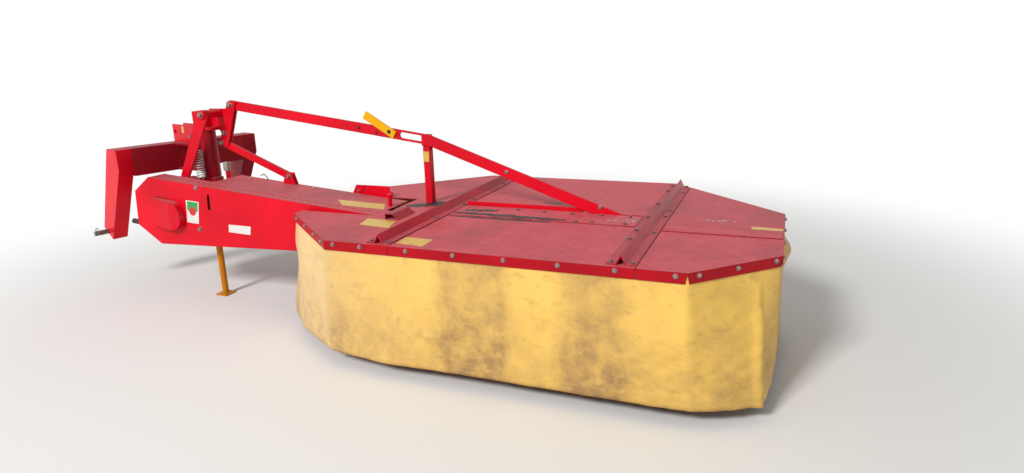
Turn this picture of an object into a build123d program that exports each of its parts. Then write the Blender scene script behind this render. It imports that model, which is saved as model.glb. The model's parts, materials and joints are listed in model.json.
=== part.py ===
from build123d import *
import math
import os

# Two-drum mower for a three-point hitch, parked with its headstock swung back.
# Millimetres, +Z up, floor at Z = 0, origin on the floor under the middle of the whole machine.
# +X runs along the cutting unit, away from the headstock. -Y is the side where the belts run.

# Cutting unit
DRUM_PITCH = 925.0          # two circles side by side cut 1.85 m
INNER_DRUM_X = 393.0
KNIFE_CIRCLE_R = 459.0
KNIFE_LENGTH = 112.0
KNIFE_WIDTH = 48.0
KNIFE_THICK = 4.0
KNIVES_PER_DRUM = 3
KNIFE_STUD_R = 11.0         # over the corners of the hexagon head
DRUM_WALL = 5.0
DRUM_BODY_R = 165.0
DRUM_DISC_R = 385.0
DRUM_DISC_Z = 72.0          # underside of the disc that carries the knives
DRUM_SKIRT_Z = 150.0        # where the drum's tube meets its cone
DRUM_TOP_Z = 405.0
DRUM_RIB_DEPTH = 14.0
DRUM_HUB_R = 62.0
DRUM_HUB_SIDES = 8
DRUM_HOLLOW_SIDES = 12      # the hollow inside is closed, so plain flats stand for its round walls
DRUM_HOLLOWS = (            # radius over the corners, from z, to z
    (290.0, 82.0, 100.0),
    (200.0, 100.0, 130.0),
    (160.0, 130.0, 395.0),
)
SPINDLE_R = 30.0
SKID_R = 255.0
SKID_FLOOR_R = 170.0
SKID_RIM_Z = 34.0
SKID_WALL = 6.0
RUN_GAP = 0.05              # radial running clearance at a shaft
SEAT_GAP = 0.3              # clearance under a part that turns on its seat

# Gear beam over the drums
BEAM_HALF_Y = 68.0
BEAM_LOW_Z = 425.0
BEAM_TOP_Z = 522.0
BEAM_INNER_X = 230.0
BEAM_OVERHANG = 120.0       # beyond the outer drum's axis
BEAM_WALL = 10.0
HEAD_R = 95.0               # bearing head over each drum

# Cover
COVER_Z = 566.0             # top face of the cover sheets
COVER_SHEET = 4.0
RIM_HEIGHT = 40.0
RIM_SHEET = 4.0
COVER_HALF_Y = 750.0
COVER_LEFT_X = -330.0
COVER_RIGHT_X = 1848.0
SEAM_X = (409.0, 1382.0)
RIB_X = (354.0, 1327.0)
RIB_HALF = 20.0
RIB_RISE = 38.0
RIB_INSET = 20.0            # from the cover's edge to the ribs' ends
RIB_FLANGE = 34.0
RIB_SHEET = 4.0
BEARER_HALF_Y = 600.0
NOTCH_NEAR_Y = -322.0
NOTCH_STEP_Y = -180.0
NOTCH_FAR_Y = 50.0
NOTCH_END_X = 165.0         # beside the belt housing's round end
NOTCH_STEP_X = 100.0        # over the hinge
SHIELD_RISE = 58.0
SHIELD_FROM_X = -262.0
SHIELD_TO_X = -62.0
SHIELD_SHEET = 4.0
TAB_FOOT_X = -305.0         # slanted tab bolted to the shield's left end
TAB_TOP_X = -262.0
TAB_WIDTH = 52.0
HOOD_FROM_X = 166.0
HOOD_TOP_X = 204.0
HOOD_TO_X = 240.0
HOOD_NEAR_Y = -372.0
HOOD_FAR_Y = -222.0
HOOD_RISE = 26.0
STRIP_THICK = 3.0

# Apron of coated cloth under the cover's rim
APRON_THICK = 5.0
APRON_HEM_Z = 60.0
APRON_GAP = 0.3
APRON_CORNER = 10.0

# Arm between headstock and cutting unit, tilted down towards the cutting unit
HINGE_X = 130.0
HINGE_Z = 460.0
ARM_TILT = 4.9
HOUSING_NEAR_Y = -300.0
HOUSING_DEPTH = 110.0
HOUSING_WALL = 4.0
HOUSING_END_R = 94.0
HOUSING_TOP_U = 1492.0
HOUSING_END_U = 1597.0
HOUSING_SHOULDER_V = 5.0
HOUSING_HEEL_V = -185.0
HOUSING_KEEL_U = 1438.0
HOUSING_KEEL_V = -272.0
SCOOP_U = 1327.0            # centre of the scoop's round end
SCOOP_V = -91.0
SCOOP_R = 78.0
SCOOP_TAIL_U = 1505.0       # where the scoop runs out into the housing's face
SCOOP_PROUD = 38.0
RING_U = 1397.0             # pressed ring round the input shaft
RING_V = -97.0
RING_R = 101.0
RING_WIDTH = 5.0
RING_PROUD = 3.0
WINDOW_U = 1080.0
WINDOW_V = 12.0
WINDOW_HEIGHT = 80.0
WINDOW_WIDTH = 16.0
VENT_LENGTH = 26.0
VENT_WIDTH = 5.0
VENT_PITCH = 44.0
VENT_COUNT = 27
VENT_FROM_U = 90.0
VENT_Y = -250.0
ARM_BEAM_NEAR_Y = -120.0
ARM_BEAM_FAR_Y = 15.0
ARM_BEAM_TOP_V = 45.0
ARM_BEAM_LOW_V = -65.0
ARM_BEAM_TIP_LOW_V = -20.0  # over the drive input
ARM_BEAM_STEP_U = (1090.0, 1180.0)
ARM_BEAM_WALL = 8.0
ARM_BEAM_END_U = 1500.0
LID_SHEET = 4.0
LID_START_U = 75.0
LID_END_U = 1142.0
STUB_X = 38.0                # upright stub on the lid, beside the hinge
STUB_Y = -118.0
STUB_R = 11.0
STUB_RISE = 62.0
PIVOT_TUBE_R = 40.0
PIVOT_PIN_R = 20.0
LUG_THICK = 14.0
LUG_GAP = 2.0

# Drive input on the far side of the belt housing
INPUT_HUB_R = 50.0
INPUT_HUB_TO_Y = -75.0
INPUT_FLANGE_R = 68.0
INPUT_FLANGE = 10.0
SPLINE_TIP_R = 17.4         # six-spline stub, 1 3/8 inch over the splines
SPLINE_ROOT_R = 14.7
SPLINE_WIDTH = 8.7
SPLINE_COUNT = 6
SPLINE_TO_Y = 20.0
GUARD_R = 69.0
GUARD_WALL = 4.0
GUARD_TO_Y = 45.0

# Headstock: portal frame that swings about the kingpin
KING_X = -1192.0
SWING = 17.0                # degrees short of square to the cutting unit
PORTAL_WIDTH = 825.0        # over the legs, lower-link category 2
PORTAL_FACE = 210.0         # kingpin axis to the portal's rear face
PORTAL_DEPTH = 115.0
PORTAL_TOP_Z = 825.0
PORTAL_BEAM_H = 152.0
PORTAL_WALL = 8.0
LEG_WIDTH = 80.0
LEG_KNEE_Z = 715.0
LEG_TOE_REAR = (-463.0, 290.0)
LEG_TOE_FRONT = (-560.0, 352.0)
LINK_PIN_R = 14.0
LINK_PIN_LENGTH = 75.0
LINK_PIN_X = -505.0
LINK_PIN_Z = 335.0
TOP_LINK_R = 12.5
TOP_LINK_X = -290.0
TOP_LINK_Z = 880.0
TOP_PLATE_END = 30.0         # from the bore to the plates' end
TOP_PLATE_HUB_GAP = 30.0
TOP_PLATE = 12.0
TOP_PLATE_GAP = 52.0
TOP_PLATE_RISE = 98.0
KINGPIN_R = 25.0
HUB_R = 45.0
HUB_LOW_Z = 640.0
HUB_TOP_Z = 905.0
HUB_PLATE = 12.0
FOOT_HALF = 60.0            # foot under the kingpin
FOOT_NEAR_Y = -48.0

# Mast and lifting linkage
MAST_TOP_Z = 1020.0
MAST_PLATE = 12.0
CROSS_X = -1077.0
CROSS_Z = 998.0
CROSS_R = 22.0
STRUT_FOOT_X = -1308.0
STRUT_FOOT_Z = 580.0
STRUT_Y = -126.0            # its far face lies on the arm beam's side
STRUT_WIDTH = 56.0          # measured level, along X
STRUT_THICK = 12.0
ROCKER_PIVOT = (-1053.0, 890.0)
ROCKER_TOP = (-990.0, 1040.0)
ROCKER_LOW = (-1082.0, 834.0)
ROCKER_THICK = 8.0
ROCKER_BACK = 18.0           # from the line of its bolts to its edges
ROCKER_FRONT = 42.0
ROCKER_END = 18.0
PIVOT_BOSS = 30.0
LINK_GAP = 1.0
BOLT_R = 10.0
PUSH_FOOT_X = -650.0
PUSH_HEIGHT = 40.0
BAR_HEIGHT = 50.0
BAR_THICK = 12.0
POST_PIN = (203.0, 878.0)
SLOT_TRAVEL = 133.0
SLOT_HALF = 15.0
POST_WIDTH = 36.0
POST_WALL = 5.0
POST_HALF_Y = 18.0
BRACE_TOP = (221.0, 907.0)   # where its upper edge leaves the post
BRACE_BEND_X = 1174.0        # where its upper edge meets the foot
BRACE_TIP_X = 1268.0
BRACE_DEPTH = 55.0           # measured upright
BRACE_FOOT = 4.0
BRACE_THICK = 10.0
SPRING_X = -1190.0
SPRING_Y = -86.0
SPRING_R = 18.0             # to the middle of the wire
SPRING_WIRE_R = 4.0
SPRING_LOW_Z = 638.0
SPRING_TURNS = 12
SPRING_PITCH = 14.0
SPRING_STEPS = 8            # straight steps in a turn
SPRING_WIRE_SIDES = 5

# Small parts on the mast and the arm
REST_X = -1062.0
REST_Y = -20.0
REST_POST = 18.0
REST_BLOCK = 30.0
REST_BLOCK_Z = 680.0
REST_TOP_Z = 728.0
KNOB_R = 14.0
KNOB_LENGTH = 60.0
KNOB_Y = -278.0
KNOB_V = -180.0

# Parking stand
STAND_X = -1058.0
STAND_Y = -163.0
STAND_R = 17.0
STAND_SLEEVE_WALL = 5.0
SLEEVE_LOW_Z = 350.0
SLEEVE_TOP_Z = 560.0
STAND_LEG_TOP_Z = 470.0
STAND_FOOT = 76.0
STAND_FOOT_THICK = 8.0

os.makedirs("parts", exist_ok=True)


def save(builder, name):
    builder.part.label = name
    export_step(builder.part, "parts/" + name + ".step")


def side(y):
    """Upright plane facing -Y: local x is X, local y is Z."""
    return Plane.XZ.offset(-y)


def arm_side(y):
    """Upright plane along the tilted arm: local x runs from the hinge to the headstock, local y is up."""
    tilt = math.radians(ARM_TILT)
    return Plane(origin=(HINGE_X, y, HINGE_Z), x_dir=(-math.cos(tilt), 0, math.sin(tilt)), z_dir=(0, 1, 0))


def arm_z(x, v):
    """Height over the floor, at x, of a line that runs along the arm at v above the hinge's axis."""
    tilt = math.radians(ARM_TILT)
    return HINGE_Z + v / math.cos(tilt) + (HINGE_X - x) * math.tan(tilt)


swing = math.radians(SWING)
portal = Plane(origin=(KING_X, 0, 0), x_dir=(math.cos(swing), -math.sin(swing), 0), z_dir=(0, 0, 1))


def portal_side(offset):
    """Upright plane across the portal at a distance along its beam: local x away from the tractor."""
    return Plane(origin=portal.from_local_coords((0, offset, 0)), x_dir=portal.x_dir, z_dir=-portal.y_dir)


# Cover outline, corner by corner from near left
COVER_CORNERS = [
    (108.0, -COVER_HALF_Y),
    (1558.0, -COVER_HALF_Y),
    (COVER_RIGHT_X, -460.0),
    (COVER_RIGHT_X, 180.0),
    (1298.0, COVER_HALF_Y),
    (218.0, COVER_HALF_Y),
    (COVER_LEFT_X, 200.0),
    (COVER_LEFT_X, -385.0),
]
drum_x = (INNER_DRUM_X, INNER_DRUM_X + DRUM_PITCH)

# Drums, knives and skids
for where, x in zip(("inner", "outer"), drum_x):
    with BuildPart() as drum:
        with BuildSketch(Plane.XZ):
            with BuildLine():
                Polyline(
                    (SPINDLE_R + RUN_GAP, DRUM_TOP_Z),
                    (DRUM_BODY_R, DRUM_TOP_Z),
                    (DRUM_BODY_R, DRUM_SKIRT_Z),
                    (DRUM_DISC_R, DRUM_DISC_Z + DRUM_WALL),
                    (DRUM_DISC_R, DRUM_DISC_Z),
                    (SPINDLE_R + RUN_GAP, DRUM_DISC_Z),
                    close=True,
                )
            make_face()
        revolve(axis=Axis.Z)
        for radius, low, high in DRUM_HOLLOWS:
            with BuildSketch(Plane.XY.offset(low)):
                RegularPolygon(radius, DRUM_HOLLOW_SIDES)
                RegularPolygon(DRUM_HUB_R, DRUM_HUB_SIDES, mode=Mode.SUBTRACT)
            extrude(amount=high - low, mode=Mode.SUBTRACT)
        with BuildSketch(Plane.XY.offset(DRUM_SKIRT_Z)):
            with PolarLocations(DRUM_BODY_R + DRUM_RIB_DEPTH / 2, KNIVES_PER_DRUM):
                Rectangle(DRUM_RIB_DEPTH + DRUM_WALL, DRUM_WALL)
        extrude(amount=DRUM_TOP_Z - DRUM_SKIRT_Z - 8 * DRUM_WALL)
    drum.part.position = (x, 0, 0)
    save(drum, "drum_" + where)

    with BuildPart() as knives:
        knife_mid = KNIFE_CIRCLE_R - KNIFE_LENGTH / 2
        stud_at = KNIFE_CIRCLE_R - KNIFE_LENGTH + 2 * KNIFE_STUD_R
        with BuildSketch(Plane.XY.offset(DRUM_DISC_Z - SEAT_GAP)):
            with PolarLocations(knife_mid, KNIVES_PER_DRUM, start_angle=60):
                Rectangle(KNIFE_LENGTH, KNIFE_WIDTH)
        extrude(amount=-KNIFE_THICK)
        with BuildSketch(Plane.XY.offset(DRUM_DISC_Z)):
            with PolarLocations(stud_at, KNIVES_PER_DRUM, start_angle=60):
                RegularPolygon(KNIFE_STUD_R, 6)
        extrude(amount=-2 * KNIFE_THICK)
    knives.part.position = (x, 0, 0)
    save(knives, "knives_" + where)

    with BuildPart() as skid:
        with BuildSketch(Plane.XZ):
            with BuildLine():
                hub_z = DRUM_DISC_Z - 2 * KNIFE_THICK - SEAT_GAP
                Polyline(
                    (SPINDLE_R + RUN_GAP, 0),
                    (SKID_FLOOR_R, 0),
                    (SKID_R, SKID_RIM_Z),
                    (SKID_R, SKID_RIM_Z + SKID_WALL),
                    (SPINDLE_R + RUN_GAP, hub_z),
                    close=True,
                )
            make_face()
        revolve(axis=Axis.Z)
    skid.part.position = (x, 0, 0)
    save(skid, "skid_" + where)

    with BuildPart() as spindle:
        with BuildSketch(Plane.XY.offset(SKID_WALL)):
            Circle(SPINDLE_R)
        extrude(amount=BEAM_LOW_Z - SKID_WALL)
        with BuildSketch(Plane.XY.offset(BEAM_LOW_Z)):
            Circle(HEAD_R)
        extrude(amount=DRUM_TOP_Z + SEAT_GAP - BEAM_LOW_Z)
    spindle.part.position = (x, 0, 0)
    save(spindle, "spindle_" + where)

# Gear beam
beam_outer_x = drum_x[1] + BEAM_OVERHANG
with BuildPart() as gear_beam:
    with BuildSketch(Plane.XY.offset(BEAM_LOW_Z)):
        with Locations(((BEAM_INNER_X + beam_outer_x) / 2, 0)):
            Rectangle(beam_outer_x - BEAM_INNER_X, 2 * BEAM_HALF_Y)
        with Locations(*[(x, 0) for x in drum_x]):
            Circle(HEAD_R)
    extrude(amount=BEAM_TOP_Z - BEAM_LOW_Z)
    with BuildSketch(Plane.XY.offset(BEAM_LOW_Z + BEAM_WALL)):
        with Locations(((BEAM_INNER_X + beam_outer_x) / 2, 0)):
            Rectangle(beam_outer_x - BEAM_INNER_X - 2 * BEAM_WALL, 2 * (BEAM_HALF_Y - BEAM_WALL))
    extrude(amount=BEAM_TOP_Z - BEAM_LOW_Z - 2 * BEAM_WALL, mode=Mode.SUBTRACT)
save(gear_beam, "gear_beam")

# Hinge lugs and pin that carry the cutting unit on the arm
lug_low_y = ARM_BEAM_NEAR_Y - LUG_GAP - LUG_THICK
lug_high_y = ARM_BEAM_FAR_Y + LUG_GAP
with BuildPart() as hinge_lugs:
    for low in (lug_low_y, lug_high_y):
        with BuildSketch(side(low)):
            with BuildLine():
                Polyline(
                    (HINGE_X, HINGE_Z + PIVOT_TUBE_R),
                    (BEAM_INNER_X, HINGE_Z + PIVOT_TUBE_R),
                    (BEAM_INNER_X, BEAM_LOW_Z),
                    (HINGE_X, HINGE_Z - PIVOT_TUBE_R),
                    close=True,
                )
            make_face()
            with Locations((HINGE_X, HINGE_Z)):
                Circle(PIVOT_TUBE_R)
        extrude(amount=-LUG_THICK)
    with BuildSketch(Plane.YZ.offset(BEAM_INNER_X)):
        with Locations(((lug_low_y + lug_high_y + LUG_THICK) / 2, (BEAM_LOW_Z + HINGE_Z + PIVOT_TUBE_R) / 2)):
            Rectangle(lug_high_y + LUG_THICK - lug_low_y, HINGE_Z + PIVOT_TUBE_R - BEAM_LOW_Z)
    extrude(amount=-LUG_THICK)
    with BuildSketch(side(lug_low_y)):
        with Locations((HINGE_X, HINGE_Z)):
            Circle(PIVOT_PIN_R)
    extrude(amount=-(lug_high_y + LUG_THICK - lug_low_y))
save(hinge_lugs, "hinge_lugs")

# Cover: three panels split at the seams, with the rim folded down
NOTCHES = (                 # end of the notch, near edge, far edge
    (NOTCH_END_X, NOTCH_NEAR_Y, NOTCH_STEP_Y),
    (NOTCH_STEP_X, NOTCH_STEP_Y, NOTCH_FAR_Y),
)
panel_edges = (COVER_LEFT_X, SEAM_X[0], SEAM_X[1], COVER_RIGHT_X)
PANELS = ("cover_left", "cover_middle", "cover_right")
SEAM_GAP = 1.5
SPLIT_HALF = 9.0            # half the opening, at its foot, where two folded rims don't meet
SPLIT_CORNERS = COVER_CORNERS[1:3]
for index, name in enumerate(PANELS):
    low_x = panel_edges[index] + (SEAM_GAP / 2 if index else 0)
    high_x = panel_edges[index + 1] - (SEAM_GAP / 2 if index < 2 else 0)
    with BuildPart() as panel:
        with BuildSketch(Plane.XY.offset(COVER_Z)):
            with BuildLine():
                Polyline(*COVER_CORNERS, close=True)
            make_face()
        extrude(amount=-RIM_HEIGHT)
        with BuildSketch(Plane.XY.offset(COVER_Z - COVER_SHEET)):
            with BuildLine():
                Polyline(*COVER_CORNERS, close=True)
            make_face()
            offset(amount=-RIM_SHEET, mode=Mode.REPLACE)
        extrude(amount=-RIM_HEIGHT, mode=Mode.SUBTRACT)
        with BuildSketch(Plane.XY.offset(COVER_Z)):
            for end_x, near_y, far_y in NOTCHES:
                with Locations(((end_x + COVER_LEFT_X - RIM_SHEET) / 2, (near_y + far_y) / 2)):
                    Rectangle(end_x - COVER_LEFT_X + RIM_SHEET, far_y - near_y)
        extrude(amount=-2 * RIM_HEIGHT, mode=Mode.SUBTRACT)
        for corner in SPLIT_CORNERS:
            with BuildSketch(Plane(origin=(*corner, COVER_Z - COVER_SHEET), x_dir=(1, 1, 0), z_dir=(1, -1, 0))):
                with BuildLine():
                    Polyline((0, 0), (SPLIT_HALF, -RIM_HEIGHT), (-SPLIT_HALF, -RIM_HEIGHT), close=True)
                make_face()
            extrude(amount=2 * RIM_SHEET, both=True, mode=Mode.SUBTRACT)
        with BuildSketch(Plane.XY.offset(COVER_Z)):
            with Locations(((low_x + high_x) / 2, 0)):
                Rectangle(high_x - low_x, 2 * COVER_HALF_Y + 2 * RIM_SHEET)
        extrude(amount=-RIM_HEIGHT, mode=Mode.INTERSECT)
    save(panel, name)

# Ribs of folded sheet across the cover
for where, x in zip(("left", "right"), RIB_X):
    with BuildPart() as rib:
        with BuildSketch(side(COVER_HALF_Y)):
            with BuildLine():
                Polyline(
                    (x - RIB_HALF - RIB_FLANGE, COVER_Z),
                    (x - RIB_HALF - RIB_FLANGE, COVER_Z + RIB_SHEET),
                    (x - RIB_HALF, COVER_Z + RIB_SHEET),
                    (x, COVER_Z + RIB_RISE),
                    (x + RIB_HALF, COVER_Z + RIB_SHEET),
                    (x + RIB_HALF + RIB_FLANGE, COVER_Z + RIB_SHEET),
                    (x + RIB_HALF + RIB_FLANGE, COVER_Z),
                    (x + RIB_HALF - RIB_SHEET, COVER_Z),
                    (x, COVER_Z + RIB_RISE - 2 * RIB_SHEET),
                    (x - RIB_HALF + RIB_SHEET, COVER_Z),
                    close=True,
                )
            make_face()
        extrude(amount=2 * COVER_HALF_Y)
        with BuildSketch(Plane.XY.offset(COVER_Z)):
            with BuildLine():
                Polyline(*COVER_CORNERS, close=True)
            make_face()
            offset(amount=-RIB_INSET, mode=Mode.REPLACE)
        extrude(amount=RIB_RISE, mode=Mode.INTERSECT)
    save(rib, "cover_rib_" + where)

# Bearers between gear beam and cover
with BuildPart() as cover_bearers:
    with BuildSketch(side(BEARER_HALF_Y)):
        for x in RIB_X:
            with Locations((x, (BEAM_TOP_Z + COVER_Z - COVER_SHEET) / 2)):
                Rectangle(2 * RIB_HALF, COVER_Z - COVER_SHEET - BEAM_TOP_Z)
    extrude(amount=2 * BEARER_HALF_Y)
save(cover_bearers, "cover_bearers")

# Shield that stands up along the notch's far edge, with a slanted tab at its left end
shield_top = COVER_Z + SHIELD_RISE
with BuildPart() as notch_shield:
    with BuildSketch(side(NOTCH_FAR_Y)):
        with BuildLine():
            Polyline(
                (SHIELD_FROM_X, COVER_Z - RIM_HEIGHT),
                (SHIELD_FROM_X, shield_top),
                (SHIELD_TO_X, shield_top),
                (SHIELD_TO_X, COVER_Z - RIM_HEIGHT),
                close=True,
            )
        make_face()
    extrude(amount=SHIELD_SHEET)
    with BuildSketch(side(NOTCH_FAR_Y - SHIELD_SHEET)):
        with BuildLine():
            Polyline(
                (TAB_FOOT_X, COVER_Z - RIM_HEIGHT / 2),
                (TAB_TOP_X, shield_top),
                (TAB_TOP_X + TAB_WIDTH, shield_top),
                (TAB_FOOT_X + TAB_WIDTH, COVER_Z - RIM_HEIGHT / 2),
                close=True,
            )
        make_face()
    extrude(amount=SHIELD_SHEET)
    with BuildSketch(side(NOTCH_FAR_Y)):
        with Locations((SHIELD_TO_X + 2 * SHIELD_SHEET, COVER_Z - RIM_HEIGHT / 4)):
            Rectangle(4 * SHIELD_SHEET, 2 * RIM_HEIGHT)
    extrude(amount=2 * SHIELD_SHEET)
save(notch_shield, "notch_shield")

# Hood pressed over the belt housing's end
with BuildPart() as housing_hood:
    with BuildSketch(side(HOOD_FAR_Y)):
        with BuildLine():
            Polyline(
                (HOOD_FROM_X, COVER_Z),
                (HOOD_FROM_X, COVER_Z + HOOD_RISE),
                (HOOD_TOP_X, COVER_Z + HOOD_RISE),
                (HOOD_TO_X, COVER_Z),
                (HOOD_TO_X - 2 * RIB_SHEET, COVER_Z),
                (HOOD_TOP_X - RIB_SHEET, COVER_Z + HOOD_RISE - RIB_SHEET),
                (HOOD_FROM_X + RIB_SHEET, COVER_Z + HOOD_RISE - RIB_SHEET),
                (HOOD_FROM_X + RIB_SHEET, COVER_Z),
                close=True,
            )
        make_face()
    extrude(amount=HOOD_FAR_Y - HOOD_NEAR_Y)
save(housing_hood, "housing_hood")

# Strips bolted along the cover over the gear beam: from x, to x, near y, far y
rib_clear = RIB_HALF + RIB_FLANGE + STRIP_THICK
STRIPS = (
    (RIB_X[0] + rib_clear, RIB_X[1] - rib_clear, -215.0, -38.0),
    (RIB_X[1] + rib_clear, COVER_RIGHT_X - RIM_SHEET, -248.0, -130.0),
)
with BuildPart() as cover_strips:
    for from_x, to_x, near_y, far_y in STRIPS:
        with BuildSketch(Plane.XY.offset(COVER_Z)):
            with Locations(((from_x + to_x) / 2, (near_y + far_y) / 2)):
                Rectangle(to_x - from_x, far_y - near_y)
        extrude(amount=STRIP_THICK)
save(cover_strips, "cover_strips")

# Apron panels, one for each edge of the outline, and none over the arm
APRON_PANELS = (
    "apron_near",
    "apron_near_right",
    "apron_right",
    "apron_far_right",
    "apron_far",
    "apron_far_left",
    None,
    "apron_near_left",
)
for name, start, end in zip(APRON_PANELS, COVER_CORNERS, COVER_CORNERS[1:] + COVER_CORNERS[:1]):
    if name is None:
        continue
    first = Vector(*start)
    last = Vector(*end)
    run = (last - first).length
    hung = Plane(origin=(first + last) * 0.5, x_dir=(last - first).normalized(), z_dir=(0, 0, 1))
    with BuildPart() as apron:
        with BuildSketch(hung.offset(APRON_HEM_Z)):
            with Locations((0, RIM_SHEET + APRON_GAP + APRON_THICK / 2)):
                Rectangle(run - 2 * APRON_CORNER, APRON_THICK)
        extrude(amount=COVER_Z - COVER_SHEET - APRON_GAP - APRON_HEM_Z)
    save(apron, name)

# Belt housing, with its vents, window, pressed ring and the scoop round the input pulley
housing_outline = [
    (0, HOUSING_END_R),
    (HOUSING_TOP_U, HOUSING_END_R),
    (HOUSING_END_U, HOUSING_SHOULDER_V),
    (HOUSING_END_U, HOUSING_HEEL_V),
    (HOUSING_KEEL_U, HOUSING_KEEL_V),
    (0, -HOUSING_END_R),
]
# Scoop: D shaped from the front, running out into the face at its tail
with BuildPart() as housing_scoop:
    with BuildSketch(arm_side(HOUSING_NEAR_Y)):
        with Locations((SCOOP_U, SCOOP_V)):
            Circle(SCOOP_R)
        with Locations(((SCOOP_U + SCOOP_TAIL_U) / 2, SCOOP_V)):
            Rectangle(SCOOP_TAIL_U - SCOOP_U, 2 * SCOOP_R)
    extrude(amount=-SCOOP_PROUD)
    slope_plane = Plane(
        origin=arm_side(HOUSING_NEAR_Y).from_local_coords((0, SCOOP_V - 2 * SCOOP_R, 0)),
        x_dir=arm_side(0).x_dir,
        z_dir=arm_side(0).y_dir,
    )
    with BuildSketch(slope_plane):
        with BuildLine():
            Polyline(
                (SCOOP_TAIL_U, 0),
                (SCOOP_TAIL_U, 2 * SCOOP_PROUD),
                (SCOOP_U, 2 * SCOOP_PROUD),
                (SCOOP_U, SCOOP_PROUD),
                close=True,
            )
        make_face()
    extrude(amount=4 * SCOOP_R, mode=Mode.SUBTRACT)
with BuildPart() as belt_housing:
    with BuildSketch(arm_side(HOUSING_NEAR_Y)):
        with BuildLine():
            Polyline(*housing_outline, close=True)
        make_face()
        Circle(HOUSING_END_R)
    extrude(amount=HOUSING_DEPTH)
    with BuildSketch(arm_side(HOUSING_NEAR_Y + HOUSING_WALL)):
        with BuildLine():
            Polyline(*housing_outline, close=True)
        make_face()
        Circle(HOUSING_END_R)
        offset(amount=-HOUSING_WALL, mode=Mode.REPLACE)
    extrude(amount=HOUSING_DEPTH - 2 * HOUSING_WALL, mode=Mode.SUBTRACT)
    with BuildSketch(arm_side(HOUSING_NEAR_Y)):
        with Locations((RING_U, RING_V)):
            Circle(RING_R)
            Circle(RING_R - RING_WIDTH, mode=Mode.SUBTRACT)
        with Locations(((SCOOP_U + SCOOP_TAIL_U) / 2, SCOOP_V)):
            Rectangle(SCOOP_TAIL_U - SCOOP_U, 2 * SCOOP_R, mode=Mode.SUBTRACT)
        with Locations((SCOOP_U, SCOOP_V)):
            Circle(SCOOP_R, mode=Mode.SUBTRACT)
    extrude(amount=-RING_PROUD)
    with BuildSketch(arm_side(HOUSING_NEAR_Y)):
        with Locations((WINDOW_U, WINDOW_V)):
            Rectangle(WINDOW_WIDTH, WINDOW_HEIGHT)
    extrude(amount=HOUSING_WALL, mode=Mode.SUBTRACT)
    with BuildSketch(arm_side(VENT_Y - VENT_WIDTH / 2)):
        with Locations(*[(VENT_FROM_U + index * VENT_PITCH, HOUSING_END_R) for index in range(VENT_COUNT)]):
            Rectangle(VENT_LENGTH, 3 * HOUSING_WALL)
    extrude(amount=VENT_WIDTH, mode=Mode.SUBTRACT)
    add(housing_scoop.part)
save(belt_housing, "belt_housing")

# Arm beam, shallower over the drive input, with the pivot tube at its end and the kingpin's foot on top
beam_start = 3 * PIVOT_TUBE_R
beam_outline = [
    (beam_start, ARM_BEAM_TOP_V),
    (ARM_BEAM_END_U, ARM_BEAM_TOP_V),
    (ARM_BEAM_END_U, ARM_BEAM_TIP_LOW_V),
    (ARM_BEAM_STEP_U[1], ARM_BEAM_TIP_LOW_V),
    (ARM_BEAM_STEP_U[0], ARM_BEAM_LOW_V),
    (beam_start, ARM_BEAM_LOW_V),
]
with BuildPart() as arm_beam:
    with BuildSketch(arm_side(ARM_BEAM_NEAR_Y)):
        with BuildLine():
            Polyline(*beam_outline, close=True)
        make_face()
    extrude(amount=ARM_BEAM_FAR_Y - ARM_BEAM_NEAR_Y)
    with BuildSketch(arm_side(ARM_BEAM_NEAR_Y + ARM_BEAM_WALL)):
        with BuildLine():
            Polyline(*beam_outline, close=True)
        make_face()
        offset(amount=-ARM_BEAM_WALL, mode=Mode.REPLACE)
    extrude(amount=ARM_BEAM_FAR_Y - ARM_BEAM_NEAR_Y - 2 * ARM_BEAM_WALL, mode=Mode.SUBTRACT)
    with BuildSketch(arm_side(ARM_BEAM_NEAR_Y)):
        with BuildLine():
            Polyline(
                (0, PIVOT_TUBE_R),
                (beam_start, ARM_BEAM_TOP_V),
                (beam_start, ARM_BEAM_LOW_V),
                (0, -PIVOT_TUBE_R),
                close=True,
            )
        make_face()
        Circle(PIVOT_TUBE_R)
        Circle(PIVOT_PIN_R + RUN_GAP, mode=Mode.SUBTRACT)
    extrude(amount=ARM_BEAM_FAR_Y - ARM_BEAM_NEAR_Y)
    with BuildSketch(side(ARM_BEAM_FAR_Y)):
        with BuildLine():
            Polyline(
                (KING_X - FOOT_HALF, arm_z(KING_X - FOOT_HALF, ARM_BEAM_TOP_V - ARM_BEAM_WALL / 2)),
                (KING_X - FOOT_HALF, HUB_LOW_Z - SEAT_GAP),
                (KING_X + FOOT_HALF, HUB_LOW_Z - SEAT_GAP),
                (KING_X + FOOT_HALF, arm_z(KING_X + FOOT_HALF, ARM_BEAM_TOP_V - ARM_BEAM_WALL / 2)),
                close=True,
            )
        make_face()
    extrude(amount=ARM_BEAM_FAR_Y - FOOT_NEAR_Y)
save(arm_beam, "arm_beam")

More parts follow.
